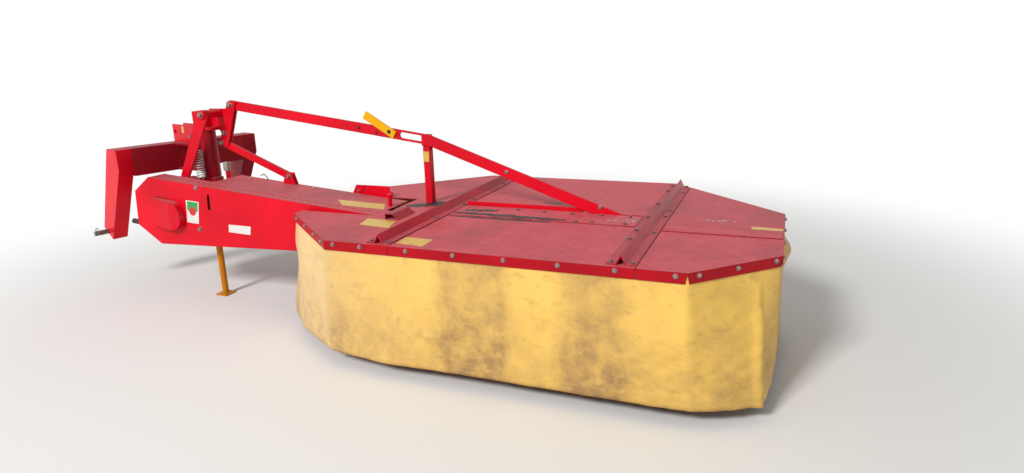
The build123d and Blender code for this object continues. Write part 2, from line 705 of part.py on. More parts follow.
# Lid: sheet level with the housing's top, folded down to the beam at its far side and its end
with BuildPart() as arm_lid:
    lid_height = HOUSING_END_R - ARM_BEAM_TOP_V
    with BuildSketch(arm_side(HOUSING_NEAR_Y + HOUSING_DEPTH)):
        with Locations(((LID_START_U + LID_END_U) / 2, HOUSING_END_R - LID_SHEET / 2)):
            Rectangle(LID_END_U - LID_START_U, LID_SHEET)
        with Locations((LID_END_U - LID_SHEET / 2, HOUSING_END_R - lid_height / 2)):
            Rectangle(LID_SHEET, lid_height)
    extrude(amount=ARM_BEAM_FAR_Y - HOUSING_NEAR_Y - HOUSING_DEPTH)
    with BuildSketch(arm_side(ARM_BEAM_FAR_Y - LID_SHEET)):
        with Locations(((beam_start + LID_END_U) / 2, HOUSING_END_R - lid_height / 2)):
            Rectangle(LID_END_U - beam_start, lid_height)
    extrude(amount=LID_SHEET)
    stub_foot_z = arm_z(STUB_X, HOUSING_END_R - LID_SHEET / 2)
    with BuildSketch(Plane.XY.offset(stub_foot_z)):
        with Locations((STUB_X, STUB_Y)):
            Circle(STUB_R)
    extrude(amount=STUB_RISE)
save(arm_lid, "arm_lid")

# Drive input: bearing hub, splined stub and its guard
input_x_z = arm_side(0).from_local_coords((RING_U, RING_V, 0))
housing_far_y = HOUSING_NEAR_Y + HOUSING_DEPTH
with BuildPart() as input_hub:
    for radius, to_y in ((INPUT_FLANGE_R, housing_far_y + INPUT_FLANGE), (INPUT_HUB_R, INPUT_HUB_TO_Y)):
        with BuildSketch(side(to_y)):
            with Locations((input_x_z.X, input_x_z.Z)):
                Circle(radius)
        extrude(amount=to_y - housing_far_y)
save(input_hub, "input_hub")

with BuildPart() as input_stub:
    with BuildSketch(side(SPLINE_TO_Y)):
        with Locations((input_x_z.X, input_x_z.Z)):
            Circle(SPLINE_ROOT_R)
            with PolarLocations(SPLINE_ROOT_R, SPLINE_COUNT):
                Rectangle(2 * (SPLINE_TIP_R - SPLINE_ROOT_R), SPLINE_WIDTH)
    extrude(amount=SPLINE_TO_Y - INPUT_HUB_TO_Y)
save(input_stub, "input_stub")

with BuildPart() as input_guard:
    guard_from_y = housing_far_y + INPUT_FLANGE
    with BuildSketch(side(GUARD_TO_Y)):
        with Locations((input_x_z.X, input_x_z.Z)):
            Circle(GUARD_R)
            Circle(GUARD_R - GUARD_WALL, mode=Mode.SUBTRACT)
    extrude(amount=GUARD_TO_Y - guard_from_y)
save(input_guard, "input_guard")

# Rubber knob at the housing's headstock end
with BuildPart() as housing_knob:
    knob_plane = Plane(
        origin=arm_side(KNOB_Y).from_local_coords((HOUSING_END_U, KNOB_V, 0)), z_dir=arm_side(0).x_dir
    )
    with BuildSketch(knob_plane):
        Circle(KNOB_R)
    extrude(amount=KNOB_LENGTH)
save(housing_knob, "housing_knob")

# Kingpin
HEAD_PLATE = 15.0
with BuildPart() as kingpin:
    with BuildSketch(Plane.XY.offset(HUB_LOW_Z - SEAT_GAP)):
        with Locations((KING_X, 0)):
            Circle(KINGPIN_R)
    extrude(amount=HUB_TOP_Z + SEAT_GAP + HEAD_PLATE - HUB_LOW_Z + SEAT_GAP)
save(kingpin, "kingpin")

# Mast head: plate over the kingpin, short box column, gusset and the cross tube to the near strut
head_z = HUB_TOP_Z + SEAT_GAP
head_end_x = ROCKER_PIVOT[0] - PIVOT_BOSS - MAST_PLATE
column_x = KING_X + HUB_R
column_top_z = MAST_TOP_Z - 2 * MAST_PLATE
with BuildPart() as mast_head:
    with BuildSketch(Plane.XY.offset(head_z)):
        with Locations(((KING_X - HUB_R + head_end_x) / 2, 0)):
            Rectangle(head_end_x - KING_X + HUB_R, 2 * HUB_R)
        with Locations((KING_X, 0)):
            Circle(KINGPIN_R + RUN_GAP, mode=Mode.SUBTRACT)
    extrude(amount=HEAD_PLATE)
    with BuildSketch(Plane.XY.offset(head_z + HEAD_PLATE)):
        with Locations((KING_X, 0)):
            Rectangle(2 * HUB_R, 2 * HUB_R)
            Rectangle(2 * (HUB_R - MAST_PLATE), 2 * (HUB_R - MAST_PLATE), mode=Mode.SUBTRACT)
    extrude(amount=column_top_z - head_z - HEAD_PLATE)
    with BuildSketch(Plane.XY.offset(column_top_z)):
        with Locations((KING_X, 0)):
            Rectangle(2 * HUB_R, 2 * HUB_R)
    extrude(amount=MAST_PLATE)
    with BuildSketch(side(MAST_PLATE / 2)):
        with BuildLine():
            Polyline(
                (column_x, head_z + HEAD_PLATE),
                (column_x, MAST_TOP_Z),
                (CROSS_X + 2 * CROSS_R, MAST_TOP_Z),
                (ROCKER_PIVOT[0] + PIVOT_BOSS, ROCKER_PIVOT[1]),
                (ROCKER_PIVOT[0], ROCKER_PIVOT[1] - PIVOT_BOSS),
                (head_end_x, head_z),
                (head_end_x, head_z + HEAD_PLATE),
                close=True,
            )
        make_face()
    extrude(amount=MAST_PLATE)
    with BuildSketch(side(-MAST_PLATE / 2)):
        with Locations((CROSS_X, CROSS_Z)):
            Circle(CROSS_R)
    extrude(amount=-STRUT_Y - STRUT_THICK / 2 - MAST_PLATE / 2)
save(mast_head, "mast_head")

# Near strut of the mast, from the cross tube down to the arm beam's side
with BuildPart() as mast_strut:
    with BuildSketch(side(STRUT_Y + STRUT_THICK / 2)):
        with BuildLine():
            Polyline(
                (STRUT_FOOT_X - STRUT_WIDTH / 2, STRUT_FOOT_Z),
                (CROSS_X - STRUT_WIDTH / 2, MAST_TOP_Z),
                (CROSS_X + STRUT_WIDTH / 2, MAST_TOP_Z),
                (CROSS_X + STRUT_WIDTH / 2, CROSS_Z - CROSS_R),
                (STRUT_FOOT_X + STRUT_WIDTH / 2, STRUT_FOOT_Z),
                close=True,
            )
        make_face()
    extrude(amount=STRUT_THICK)
save(mast_strut, "mast_strut")

# Rocker plates either side of the gusset
with BuildPart() as rocker:
    for face in (-MAST_PLATE / 2 - LINK_GAP, MAST_PLATE / 2 + LINK_GAP + ROCKER_THICK):
        with BuildSketch(side(face)):
            with BuildLine():
                Polyline(
                    (ROCKER_TOP[0] - ROCKER_BACK, ROCKER_TOP[1] + ROCKER_END),
                    (ROCKER_TOP[0] + ROCKER_FRONT, ROCKER_TOP[1] + ROCKER_END),
                    (ROCKER_LOW[0] + ROCKER_FRONT, ROCKER_LOW[1] - ROCKER_END),
                    (ROCKER_LOW[0] - ROCKER_BACK, ROCKER_LOW[1] - ROCKER_END),
                    close=True,
                )
            make_face()
        extrude(amount=ROCKER_THICK)
    with BuildSketch(side(MAST_PLATE / 2 + LINK_GAP)):
        with Locations(ROCKER_TOP):
            Circle(BOLT_R)
    extrude(amount=MAST_PLATE + 2 * LINK_GAP)
save(rocker, "rocker")

# Push strut from rocker to arm, bolted between plates at both ends
push_start = Vector(*ROCKER_LOW)
push_end = Vector(PUSH_FOOT_X, arm_z(PUSH_FOOT_X, HOUSING_END_R) + PUSH_HEIGHT)
push_run = push_end - push_start
push_half_y = MAST_PLATE / 2 + LINK_GAP
push_plane = Plane(
    origin=(push_start.X, push_half_y, push_start.Y),
    x_dir=(push_run.X, 0, push_run.Y),
    z_dir=(0, -1, 0),
)
with BuildPart() as push_strut:
    with BuildSketch(push_plane):
        with Locations((push_run.length / 2, 0)):
            SlotCenterToCenter(push_run.length, PUSH_HEIGHT)
    extrude(amount=2 * push_half_y)
save(push_strut, "push_strut")

with BuildPart() as push_foot:
    for face in (-push_half_y, push_half_y + ROCKER_THICK):
        with BuildSketch(side(face)):
            with BuildLine():
                Polyline(
                    (PUSH_FOOT_X - PUSH_HEIGHT, arm_z(PUSH_FOOT_X - PUSH_HEIGHT, HOUSING_END_R)),
                    (PUSH_FOOT_X - PUSH_HEIGHT / 2, push_end.Y + PUSH_HEIGHT / 2),
                    (PUSH_FOOT_X + PUSH_HEIGHT / 2, push_end.Y + PUSH_HEIGHT / 2),
                    (PUSH_FOOT_X + PUSH_HEIGHT, arm_z(PUSH_FOOT_X + PUSH_HEIGHT, HOUSING_END_R)),
                    close=True,
                )
            make_face()
        extrude(amount=ROCKER_THICK)
save(push_foot, "push_foot")

# Lifting bar with its slotted end over the post's pin
bar_start = Vector(*ROCKER_TOP)
bar_end = Vector(*POST_PIN)
bar_run = bar_end - bar_start
bar_plane = Plane(
    origin=(bar_start.X, BAR_THICK / 2, bar_start.Y), x_dir=(bar_run.X, 0, bar_run.Y), z_dir=(0, -1, 0)
)
slot_last = bar_run.length + BOLT_R + LINK_GAP / 2 - SLOT_HALF
with BuildPart() as lift_bar:
    with BuildSketch(bar_plane):
        with Locations((bar_run.length / 2, 0)):
            SlotCenterToCenter(bar_run.length, BAR_HEIGHT)
        Circle(BOLT_R + RUN_GAP, mode=Mode.SUBTRACT)
        with Locations((slot_last - SLOT_TRAVEL / 2, 0)):
            SlotCenterToCenter(SLOT_TRAVEL, 2 * SLOT_HALF, mode=Mode.SUBTRACT)
    extrude(amount=BAR_THICK)
save(lift_bar, "lift_bar")

HANDLE_FROM = (-138.0, 996.0)
HANDLE_TO = (28.0, 896.0)
HANDLE_HALF = 21.0
handle_run = Vector(*HANDLE_TO) - Vector(*HANDLE_FROM)
handle_plane = Plane(
    origin=(HANDLE_FROM[0], -BAR_THICK / 2, HANDLE_FROM[1]),
    x_dir=(handle_run.X, 0, handle_run.Y),
    z_dir=(0, -1, 0),
)
with BuildPart() as latch_lever:
    with BuildSketch(handle_plane):
        with Locations((handle_run.length / 2, 0)):
            Rectangle(handle_run.length, 2 * HANDLE_HALF)
    extrude(amount=8.0)
save(latch_lever, "latch_lever")

# Post on the cover and its brace
with BuildPart() as lift_post:
    post_x = POST_PIN[0]
    with BuildSketch(Plane.XY.offset(COVER_Z)):
        with Locations((post_x, POST_HALF_Y - POST_WALL / 2), (post_x, POST_WALL / 2 - POST_HALF_Y)):
            Rectangle(POST_WIDTH, POST_WALL)
        with Locations((post_x + (POST_WIDTH - POST_WALL) / 2, 0)):
            Rectangle(POST_WALL, 2 * POST_HALF_Y)
    extrude(amount=POST_PIN[1] - BAR_HEIGHT - COVER_Z)
    for face in (POST_HALF_Y, POST_WALL - POST_HALF_Y):
        with BuildSketch(side(face)):
            with Locations((post_x, POST_PIN[1] - BAR_HEIGHT / 2)):
                Rectangle(POST_WIDTH, 2 * BAR_HEIGHT)
        extrude(amount=POST_WALL)
    with BuildSketch(side(POST_HALF_Y)):
        with Locations(POST_PIN):
            Circle(BOLT_R)
    extrude(amount=2 * POST_HALF_Y)
save(lift_post, "lift_post")

brace_start_x = POST_PIN[0] - POST_WIDTH / 2
brace_fall = (BRACE_TOP[1] - COVER_Z - BRACE_FOOT) / (BRACE_BEND_X - BRACE_TOP[0])
brace_under_x = BRACE_TOP[0] + (BRACE_TOP[1] - BRACE_DEPTH - COVER_Z) / brace_fall
with BuildPart() as post_brace:
    with BuildSketch(side(-POST_HALF_Y)):
        with BuildLine():
            Polyline(
                (brace_start_x, BRACE_TOP[1]),
                BRACE_TOP,
                (BRACE_BEND_X, COVER_Z + BRACE_FOOT),
                (BRACE_TIP_X, COVER_Z + BRACE_FOOT),
                (BRACE_TIP_X, COVER_Z),
                (brace_under_x, COVER_Z),
                (BRACE_TOP[0], BRACE_TOP[1] - BRACE_DEPTH),
                (brace_start_x, BRACE_TOP[1] - BRACE_DEPTH),
                close=True,
            )
        make_face()
    extrude(amount=BRACE_THICK)
save(post_brace, "post_brace")

ANGLE_BAR = 20.0
ANGLE_FROM_X = RIB_X[0] + RIB_HALF + RIB_FLANGE + 2.0
ANGLE_TO_X = brace_under_x - 2 * ANGLE_BAR
ANGLE_NEAR_Y = -12.0
with BuildPart() as angle_bar:
    with BuildSketch(Plane.YZ.offset(ANGLE_FROM_X)):
        with Locations((ANGLE_NEAR_Y + ANGLE_BAR / 2, COVER_Z + RIB_SHEET / 2)):
            Rectangle(ANGLE_BAR, RIB_SHEET)
        with Locations((ANGLE_NEAR_Y + RIB_SHEET / 2, COVER_Z + ANGLE_BAR / 2)):
            Rectangle(RIB_SHEET, ANGLE_BAR)
    extrude(amount=ANGLE_TO_X - ANGLE_FROM_X)
save(angle_bar, "angle_bar")

# Relief spring: a coil with straight hooks, up to the mast's cross tube and down to the arm beam
spring_top_z = SPRING_LOW_Z + SPRING_TURNS * SPRING_PITCH
spring_points = []
for step in range(SPRING_TURNS * SPRING_STEPS + 1):
    turn = 2 * math.pi * step / SPRING_STEPS
    spring_points.append(
        (
            SPRING_X + SPRING_R * math.cos(turn),
            SPRING_Y + SPRING_R * math.sin(turn),
            SPRING_LOW_Z + SPRING_PITCH * step / SPRING_STEPS,
        )
    )
hook_low = (SPRING_X, SPRING_Y, arm_z(SPRING_X, ARM_BEAM_TOP_V) + 2 * SEAT_GAP)
hook_lean = Vector(CROSS_X - SPRING_X, CROSS_Z - spring_top_z).normalized() * (CROSS_R + SEAT_GAP)
hook_high = (CROSS_X - hook_lean.X, SPRING_Y, CROSS_Z - hook_lean.Y)
spring_route = [hook_low, (SPRING_X, SPRING_Y, SPRING_LOW_Z), *spring_points]
spring_route += [(SPRING_X, SPRING_Y, spring_top_z), hook_high]
with BuildPart() as relief_spring:
    with BuildLine():
        Polyline(*spring_route)
    with BuildSketch(Plane(origin=hook_low, z_dir=(0, 0, 1))):
        RegularPolygon(SPRING_WIRE_R, SPRING_WIRE_SIDES)
    sweep(transition=Transition.RIGHT)
save(relief_spring, "relief_spring")

# Rest for the drive shaft beside the mast
with BuildPart() as shaft_rest:
    with BuildSketch(side(REST_Y + REST_POST / 2)):
        with BuildLine():
            Polyline(
                (REST_X - REST_POST / 2, arm_z(REST_X - REST_POST / 2, ARM_BEAM_TOP_V)),
                (REST_X - REST_POST / 2, REST_BLOCK_Z),
                (REST_X + REST_POST / 2, REST_BLOCK_Z),
                (REST_X + REST_POST / 2, arm_z(REST_X + REST_POST / 2, ARM_BEAM_TOP_V)),
                close=True,
            )
        make_face()
    extrude(amount=REST_POST)
save(shaft_rest, "shaft_rest")

with BuildPart() as rest_block:
    with BuildSketch(Plane.XY.offset(REST_BLOCK_Z)):
        with Locations((REST_X, REST_Y)):
            Rectangle(REST_BLOCK, REST_BLOCK)
    extrude(amount=REST_TOP_Z - REST_BLOCK_Z)
save(rest_block, "rest_block")

# Stand: sleeve beside the belt housing and the leg that slides in it
with BuildPart() as stand_sleeve:
    with BuildSketch(Plane.XY.offset(SLEEVE_LOW_Z)):
        with Locations((STAND_X, STAND_Y)):
            Rectangle(2 * (STAND_R + STAND_SLEEVE_WALL), 2 * (STAND_R + STAND_SLEEVE_WALL))
            Circle(STAND_R + RUN_GAP, mode=Mode.SUBTRACT)
        with Locations((STAND_X, (housing_far_y + STAND_Y - STAND_R - STAND_SLEEVE_WALL) / 2)):
            Rectangle(2 * STAND_R, STAND_Y - STAND_R - STAND_SLEEVE_WALL - housing_far_y)
    extrude(amount=SLEEVE_TOP_Z - SLEEVE_LOW_Z)
save(stand_sleeve, "stand_sleeve")

with BuildPart() as stand_leg:
    with BuildSketch(Plane.XY.offset(STAND_FOOT_THICK)):
        with Locations((STAND_X, STAND_Y)):
            Circle(STAND_R)
            Circle(STAND_R - STAND_SLEEVE_WALL, mode=Mode.SUBTRACT)
    extrude(amount=STAND_LEG_TOP_Z - STAND_FOOT_THICK)
    with BuildSketch():
        with Locations((STAND_X, STAND_Y)):
            Rectangle(STAND_FOOT, STAND_FOOT)
    extrude(amount=STAND_FOOT_THICK)
save(stand_leg, "stand_leg")

# Headstock portal
portal_low = -PORTAL_FACE - PORTAL_DEPTH
half_width = PORTAL_WIDTH / 2
with BuildPart() as portal_beam:
    with BuildSketch(portal_side(half_width - LEG_WIDTH)):
        with Locations((-PORTAL_FACE - PORTAL_DEPTH / 2, PORTAL_TOP_Z - PORTAL_BEAM_H / 2)):
            Rectangle(PORTAL_DEPTH, PORTAL_BEAM_H)
            Rectangle(PORTAL_DEPTH - 2 * PORTAL_WALL, PORTAL_BEAM_H - 2 * PORTAL_WALL, mode=Mode.SUBTRACT)
    extrude(amount=PORTAL_WIDTH - 2 * LEG_WIDTH)
save(portal_beam, "portal_beam")

leg_outline = [
    (portal_low, PORTAL_TOP_Z),
    (-PORTAL_FACE, PORTAL_TOP_Z),
    (-PORTAL_FACE, LEG_KNEE_Z),
    LEG_TOE_REAR,
    LEG_TOE_FRONT,
]
for where, high in (("near", LEG_WIDTH - half_width), ("far", half_width)):
    with BuildPart() as leg:
        with BuildSketch(portal_side(high)):
            with BuildLine():
                Polyline(*leg_outline, close=True)
            make_face()
        extrude(amount=LEG_WIDTH)
        with BuildSketch(portal_side(high - PORTAL_WALL)):
            with BuildLine():
                Polyline(*leg_outline, close=True)
            make_face()
            offset(amount=-PORTAL_WALL, mode=Mode.REPLACE)
        extrude(amount=LEG_WIDTH - 2 * PORTAL_WALL, mode=Mode.SUBTRACT)
    save(leg, "portal_leg_" + where)

for where, start, sign in (("near", -half_width, 1), ("far", half_width, -1)):
    with BuildPart() as link_pin:
        with BuildSketch(portal_side(start)):
            with Locations((LINK_PIN_X, LINK_PIN_Z)):
                Circle(LINK_PIN_R)
        extrude(amount=sign * LINK_PIN_LENGTH)
    save(link_pin, "link_pin_" + where)

# Top-link clevis on the portal beam and the hub's upper plate
clevis_front = TOP_LINK_X - TOP_PLATE_END
clevis_back = -HUB_R - TOP_PLATE_HUB_GAP
with BuildPart() as top_link_clevis:
    for high in (TOP_PLATE_GAP / 2 + TOP_PLATE, -TOP_PLATE_GAP / 2):
        with BuildSketch(portal_side(high)):
            with Locations(((clevis_front + clevis_back) / 2, PORTAL_TOP_Z + TOP_PLATE_RISE / 2)):
                Rectangle(clevis_back - clevis_front, TOP_PLATE_RISE)
            with Locations((TOP_LINK_X, TOP_LINK_Z)):
                Circle(TOP_LINK_R, mode=Mode.SUBTRACT)
        extrude(amount=TOP_PLATE)
save(top_link_clevis, "top_link_clevis")

# Hub that turns on the kingpin
with BuildPart() as swing_hub:
    with BuildSketch(portal.offset(HUB_LOW_Z)):
        Circle(HUB_R)
        Circle(KINGPIN_R + RUN_GAP, mode=Mode.SUBTRACT)
    extrude(amount=HUB_TOP_Z - HUB_LOW_Z)
save(swing_hub, "swing_hub")

# Plates between the hub and the portal beam
with BuildPart() as hub_plates:
    for low in (PORTAL_TOP_Z - PORTAL_BEAM_H, PORTAL_TOP_Z - HUB_PLATE):
        with BuildSketch(portal.offset(low)):
            with BuildLine():
                Polyline(
                    (-PORTAL_FACE, 2 * HUB_R),
                    (0, HUB_R),
                    (0, -HUB_R),
                    (-PORTAL_FACE, -2 * HUB_R),
                    close=True,
                )
            make_face()
            Circle(HUB_R, mode=Mode.SUBTRACT)
        extrude(amount=HUB_PLATE)
save(hub_plates, "hub_plates")
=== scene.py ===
"""Looks of a two-drum mower parked on its stand: finishes, cloth skirt, fasteners, coil and signs.

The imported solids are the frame. Each class here dresses or adds one sub-assembly of the machine, in metres,
with +X along the cutting unit away from the headstock, -Y the belt side and +Z up.
"""

from __future__ import annotations

import json
import logging
import math
from dataclasses import dataclass, field
from enum import Enum
from typing import Iterable, Sequence, Union

import bpy
from mathutils import Matrix, Vector, noise

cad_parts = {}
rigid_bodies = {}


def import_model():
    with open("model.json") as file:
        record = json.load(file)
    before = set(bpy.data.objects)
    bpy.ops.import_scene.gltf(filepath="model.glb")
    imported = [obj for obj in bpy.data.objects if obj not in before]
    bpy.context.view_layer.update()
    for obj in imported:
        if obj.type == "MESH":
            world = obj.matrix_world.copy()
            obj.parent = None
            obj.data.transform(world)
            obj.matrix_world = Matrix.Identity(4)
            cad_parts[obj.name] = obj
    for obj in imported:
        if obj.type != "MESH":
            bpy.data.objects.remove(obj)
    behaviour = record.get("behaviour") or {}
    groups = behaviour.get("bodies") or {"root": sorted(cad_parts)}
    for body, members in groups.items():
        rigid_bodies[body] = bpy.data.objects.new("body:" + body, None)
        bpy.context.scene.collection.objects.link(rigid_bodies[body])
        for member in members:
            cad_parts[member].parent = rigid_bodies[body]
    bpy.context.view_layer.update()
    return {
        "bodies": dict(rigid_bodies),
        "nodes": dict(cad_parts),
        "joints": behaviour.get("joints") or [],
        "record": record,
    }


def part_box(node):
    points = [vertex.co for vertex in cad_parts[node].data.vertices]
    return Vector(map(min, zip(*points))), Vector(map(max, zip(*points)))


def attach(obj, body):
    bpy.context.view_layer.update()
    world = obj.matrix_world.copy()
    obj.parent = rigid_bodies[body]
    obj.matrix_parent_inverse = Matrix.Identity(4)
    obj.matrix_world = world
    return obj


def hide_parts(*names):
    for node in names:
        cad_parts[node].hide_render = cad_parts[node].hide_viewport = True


log = logging.getLogger("mower")

Tree = bpy.types.NodeTree
Socket = bpy.types.NodeSocket
Colour = tuple[float, float, float, float]
Spot = tuple[float, float]

MM = 0.001
MIX_FACTOR, MIX_A, MIX_B, MIX_RESULT = 0, 6, 7, 2  # sockets of a colour Mix node
UP = Vector((0.0, 0.0, 1.0))
NEAR = Vector((0.0, -1.0, 0.0))
ARM_TILT = math.radians(4.9)
HINGE = Vector((0.130, 0.0, 0.460))
SWING = math.radians(17.0)
KINGPIN = Vector((-1.192, 0.0, 0.0))
FILM = 0.35 * MM  # thickness of a vinyl sticker
CLEAR = 0.1 * MM  # gap that keeps a film's back off the face under it
FLAKE = 0.15 * MM  # thickness of a flake of primer or of a band of painted highlight
GREASE_THICK = 0.5 * MM
WELD_GAP = 0.01 * MM  # points of a solid closer than this are one
FLAT_WITHIN = math.radians(0.2)  # faces nearer to one plane than this are one
ROUND_OVER = math.radians(32)  # corners sharper than this are rounded


class Body(str, Enum):
    """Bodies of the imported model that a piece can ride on."""

    ARM = "arm"
    HEADSTOCK = "headstock"
    CUTTER = "cutter"
    LINKAGE = "lift_linkage"


class Slot(str, Enum):
    """Material slots of the record."""

    RED = "red_paint"
    YELLOW = "yellow_paint"
    CLOTH = "apron_cloth"
    STEEL = "bare_steel"
    IRON = "grey_iron"
    RUBBER = "black_rubber"
    PLASTIC = "grey_plastic"


def linear(colour: str) -> Colour:
    """Turn an sRGB hex colour into linear light.

    Args:
        colour: The colour as "#rrggbb".

    Returns:
        Linear red, green and blue with an alpha of 1.
    """
    parts = [int(colour[i : i + 2], 16) / 255 for i in (1, 3, 5)]
    red, green, blue = (p / 12.92 if p <= 0.04045 else ((p + 0.055) / 1.055) ** 2.4 for p in parts)
    return red, green, blue, 1.0


def per_metre(size_mm: float) -> float:
    """Return the texture scale that gives features of size_mm."""
    return 1000.0 / size_mm


def add(tree: Tree, kind: str, links: dict | None = None, **settings: object) -> bpy.types.Node:
    """Add a node with its settings and links.

    Args:
        tree: The node tree that takes the node.
        kind: The node's type name.
        links: Socket name or index to an output socket to link, or to a value to set.
        settings: Properties of the node itself.

    Returns:
        The new node.
    """
    node = tree.nodes.new(kind)
    for name, value in settings.items():
        setattr(node, name, value)
    for socket, value in (links or {}).items():
        if isinstance(value, Socket):
            tree.links.new(value, node.inputs[socket])
        else:
            node.inputs[socket].default_value = value
    return node


def start_material(name: str) -> tuple[bpy.types.Material, Tree]:
    """Make an empty node material.

    Args:
        name: The material's name.

    Returns:
        The material and its cleared node tree.
    """
    material = bpy.data.materials.new(name)
    material.use_nodes = True
    material.node_tree.nodes.clear()
    return material, material.node_tree


def close_surface(
    tree: Tree,
    base: Socket | Colour,
    layers: Iterable[tuple[Socket, str]],
    reliefs: Iterable[tuple[Socket, float, float]],
    gloss: dict,
) -> None:
    """Lay thin layers over a base, press reliefs into them and join the surface to the material's output.

    Args:
        tree: The node tree that takes the surface.
        base: The colour under the layers.
        layers: For each layer, from the lowest up, the share it covers and its sRGB colour.
        reliefs: For each relief, its height from 0 to 1, its strength and its depth in metres.
        gloss: The shader's other settings and links.
    """
    colour = base
    for share, tone in layers:
        mixed = {MIX_FACTOR: share, MIX_A: colour, MIX_B: linear(tone)}
        colour = add(tree, "ShaderNodeMix", mixed, data_type="RGBA").outputs[MIX_RESULT]
    pressed: dict = {}
    for height, strength, depth in reliefs:
        relief = {"Height": height, "Strength": strength, "Distance": depth} | pressed
        pressed = {"Normal": add(tree, "ShaderNodeBump", relief).outputs[0]}
    shader = add(tree, "ShaderNodeBsdfPrincipled", {"Base Color": colour} | pressed | gloss)
    add(tree, "ShaderNodeOutputMaterial", {"Surface": shader.outputs[0]})


@dataclass(frozen=True)
class Patches:
    """Cloudy patches over a surface: their size, how fine and ragged their edges are, and their cover."""

    size_mm: float
    detail: float
    low: float
    high: float
    least: float = 0.0
    most: float = 1.0
    ragged: float = 0.5
    swirl: float = 0.0

    def share(self, tree: Tree, place: Socket) -> Socket:
        """Add the patches.

        Args:
            tree: The node tree that takes them.
            place: Place on the surface, in metres.

        Returns:
            The share that the patches cover there, from least to most.
        """
        cloud = {"Vector": place, "Scale": per_metre(self.size_mm), "Detail": self.detail}
        cloud |= {"Roughness": self.ragged, "Distortion": self.swirl}
        level = add(tree, "ShaderNodeTexNoise", cloud).outputs[0]
        span = {
            "Value": level,
            "From Min": self.low,
            "From Max": self.high,
            "To Min": self.least,
            "To Max": self.most,
        }
        return add(tree, "ShaderNodeMapRange", span).outputs[0]


@dataclass(frozen=True)
class SprayedEnamel:
    """Alkyd enamel sprayed on sheet and section steel: a hard film that the sun bleaches on the tops."""

    name: str
    fresh: str
    deep: str
    faded: str
    soil: str = "#8f7468"
    grime: str = "#6e3f3f"
    rust: str = "#5b3020"
    fade: float = 0.9
    roughness: float = 0.34
    chalky: float = 0.62

    # Slow drift of the film's depth, a hand's breadth to half a metre
    DRIFT = Patches(420, 5.0, 0.38, 0.66)
    # Chalk where the sun has bleached the film
    CHALK = Patches(150, 11.0, 0.3, 0.56, least=0.42, ragged=0.74, swirl=0.15)
    # Dust that settled on the tops, in specks of some 15 mm
    DUST = Patches(16, 6.0, 0.52, 0.72, most=0.5, ragged=0.7)
    # Grime that rain has gathered into patches of a forearm's length
    GRIME = Patches(380, 12.0, 0.5, 0.68, most=0.36, ragged=0.62, swirl=0.5)
    # Rain streaks down the sides, 33 mm apart and a dozen times as long
    STREAKS = Patches(1000, 4.0, 0.56, 0.78, most=0.35)
    STREAKS_PER_METRE = (30.0, 30.0, 2.5)
    CHIP_REACH = 3.5 * MM

    def chips(self, tree: Tree, place: Socket) -> Socket:
        """Return the share of chips: along the edges, and a few rust blooms of some 20 mm in the open."""
        rounded = add(tree, "ShaderNodeBevel", {"Radius": self.CHIP_REACH}, samples=4)
        flat = add(tree, "ShaderNodeNewGeometry")
        sides = {0: rounded.outputs[0], 1: flat.outputs["Normal"]}
        edge = add(tree, "ShaderNodeVectorMath", sides, operation="DOT_PRODUCT").outputs["Value"]
        edge = add(
            tree, "ShaderNodeMapRange", {"Value": edge, "From Min": 0.995, "From Max": 0.93, "To Max": 0.34}
        )
        bloom = {"Vector": place, "Scale": per_metre(22), "Detail": 8.0, "Roughness": 0.6}
        bloom = add(tree, "ShaderNodeTexNoise", bloom)
        chip = add(
            tree, "ShaderNodeMath", {0: bloom.outputs[0], 1: edge.outputs[0]}, operation="ADD"
        ).outputs[0]
        return add(tree, "ShaderNodeMapRange", {"Value": chip, "From Min": 0.74, "From Max": 0.8}).outputs[0]

    def material(self) -> bpy.types.Material:
        """Return the enamel's material: film, bleached tops, dust, streaks, chipped edges and rust."""
        material, tree = start_material(self.name)
        where = add(tree, "ShaderNodeTexCoord")
        place = where.outputs["Object"]
        axes = add(tree, "ShaderNodeSeparateXYZ", {0: where.outputs["Normal"]})
        steep = {"Value": axes.outputs["Z"], "From Min": 0.72, "From Max": 0.97}
        upward = add(tree, "ShaderNodeMapRange", steep, interpolation_type="SMOOTHSTEP").outputs[0]
        tops = []
        for settled in (self.CHALK, self.DUST, self.GRIME):
            both = {0: settled.share(tree, place), 1: upward}
            tops.append(add(tree, "ShaderNodeMath", both, operation="MULTIPLY").outputs[0])
        chalk, dust, grime = tops
        bleached = add(tree, "ShaderNodeMath", {0: chalk, 1: self.fade}, operation="MULTIPLY").outputs[0]
        smear = add(tree, "ShaderNodeMapping", {"Vector": place, "Scale": self.STREAKS_PER_METRE})
        layers = (
            (self.DRIFT.share(tree, place), self.deep),
            (bleached, self.faded),
            (dust, self.soil),
            (grime, self.grime),
            (self.STREAKS.share(tree, smear.outputs[0]), self.deep),
            (self.chips(tree, place), self.rust),
        )
        rough = {"Value": bleached, "To Min": self.roughness, "To Max": self.chalky}
        rough = add(tree, "ShaderNodeMapRange", rough)
        # Orange peel of the sprayed film, and the slow dents of thin sheet
        peel = add(tree, "ShaderNodeTexNoise", {"Vector": place, "Scale": per_metre(4), "Detail": 2.0})
        dents = add(tree, "ShaderNodeTexNoise", {"Vector": place, "Scale": per_metre(190), "Detail": 2.0})
        reliefs = ((peel.outputs[0], 0.12, 0.4 * MM), (dents.outputs[0], 0.35, 6 * MM))
        gloss = {"Roughness": rough.outputs[0], "IOR": 1.5, "Specular IOR Level": 0.16}
        close_surface(tree, linear(self.fresh), layers, reliefs, gloss)
        return material


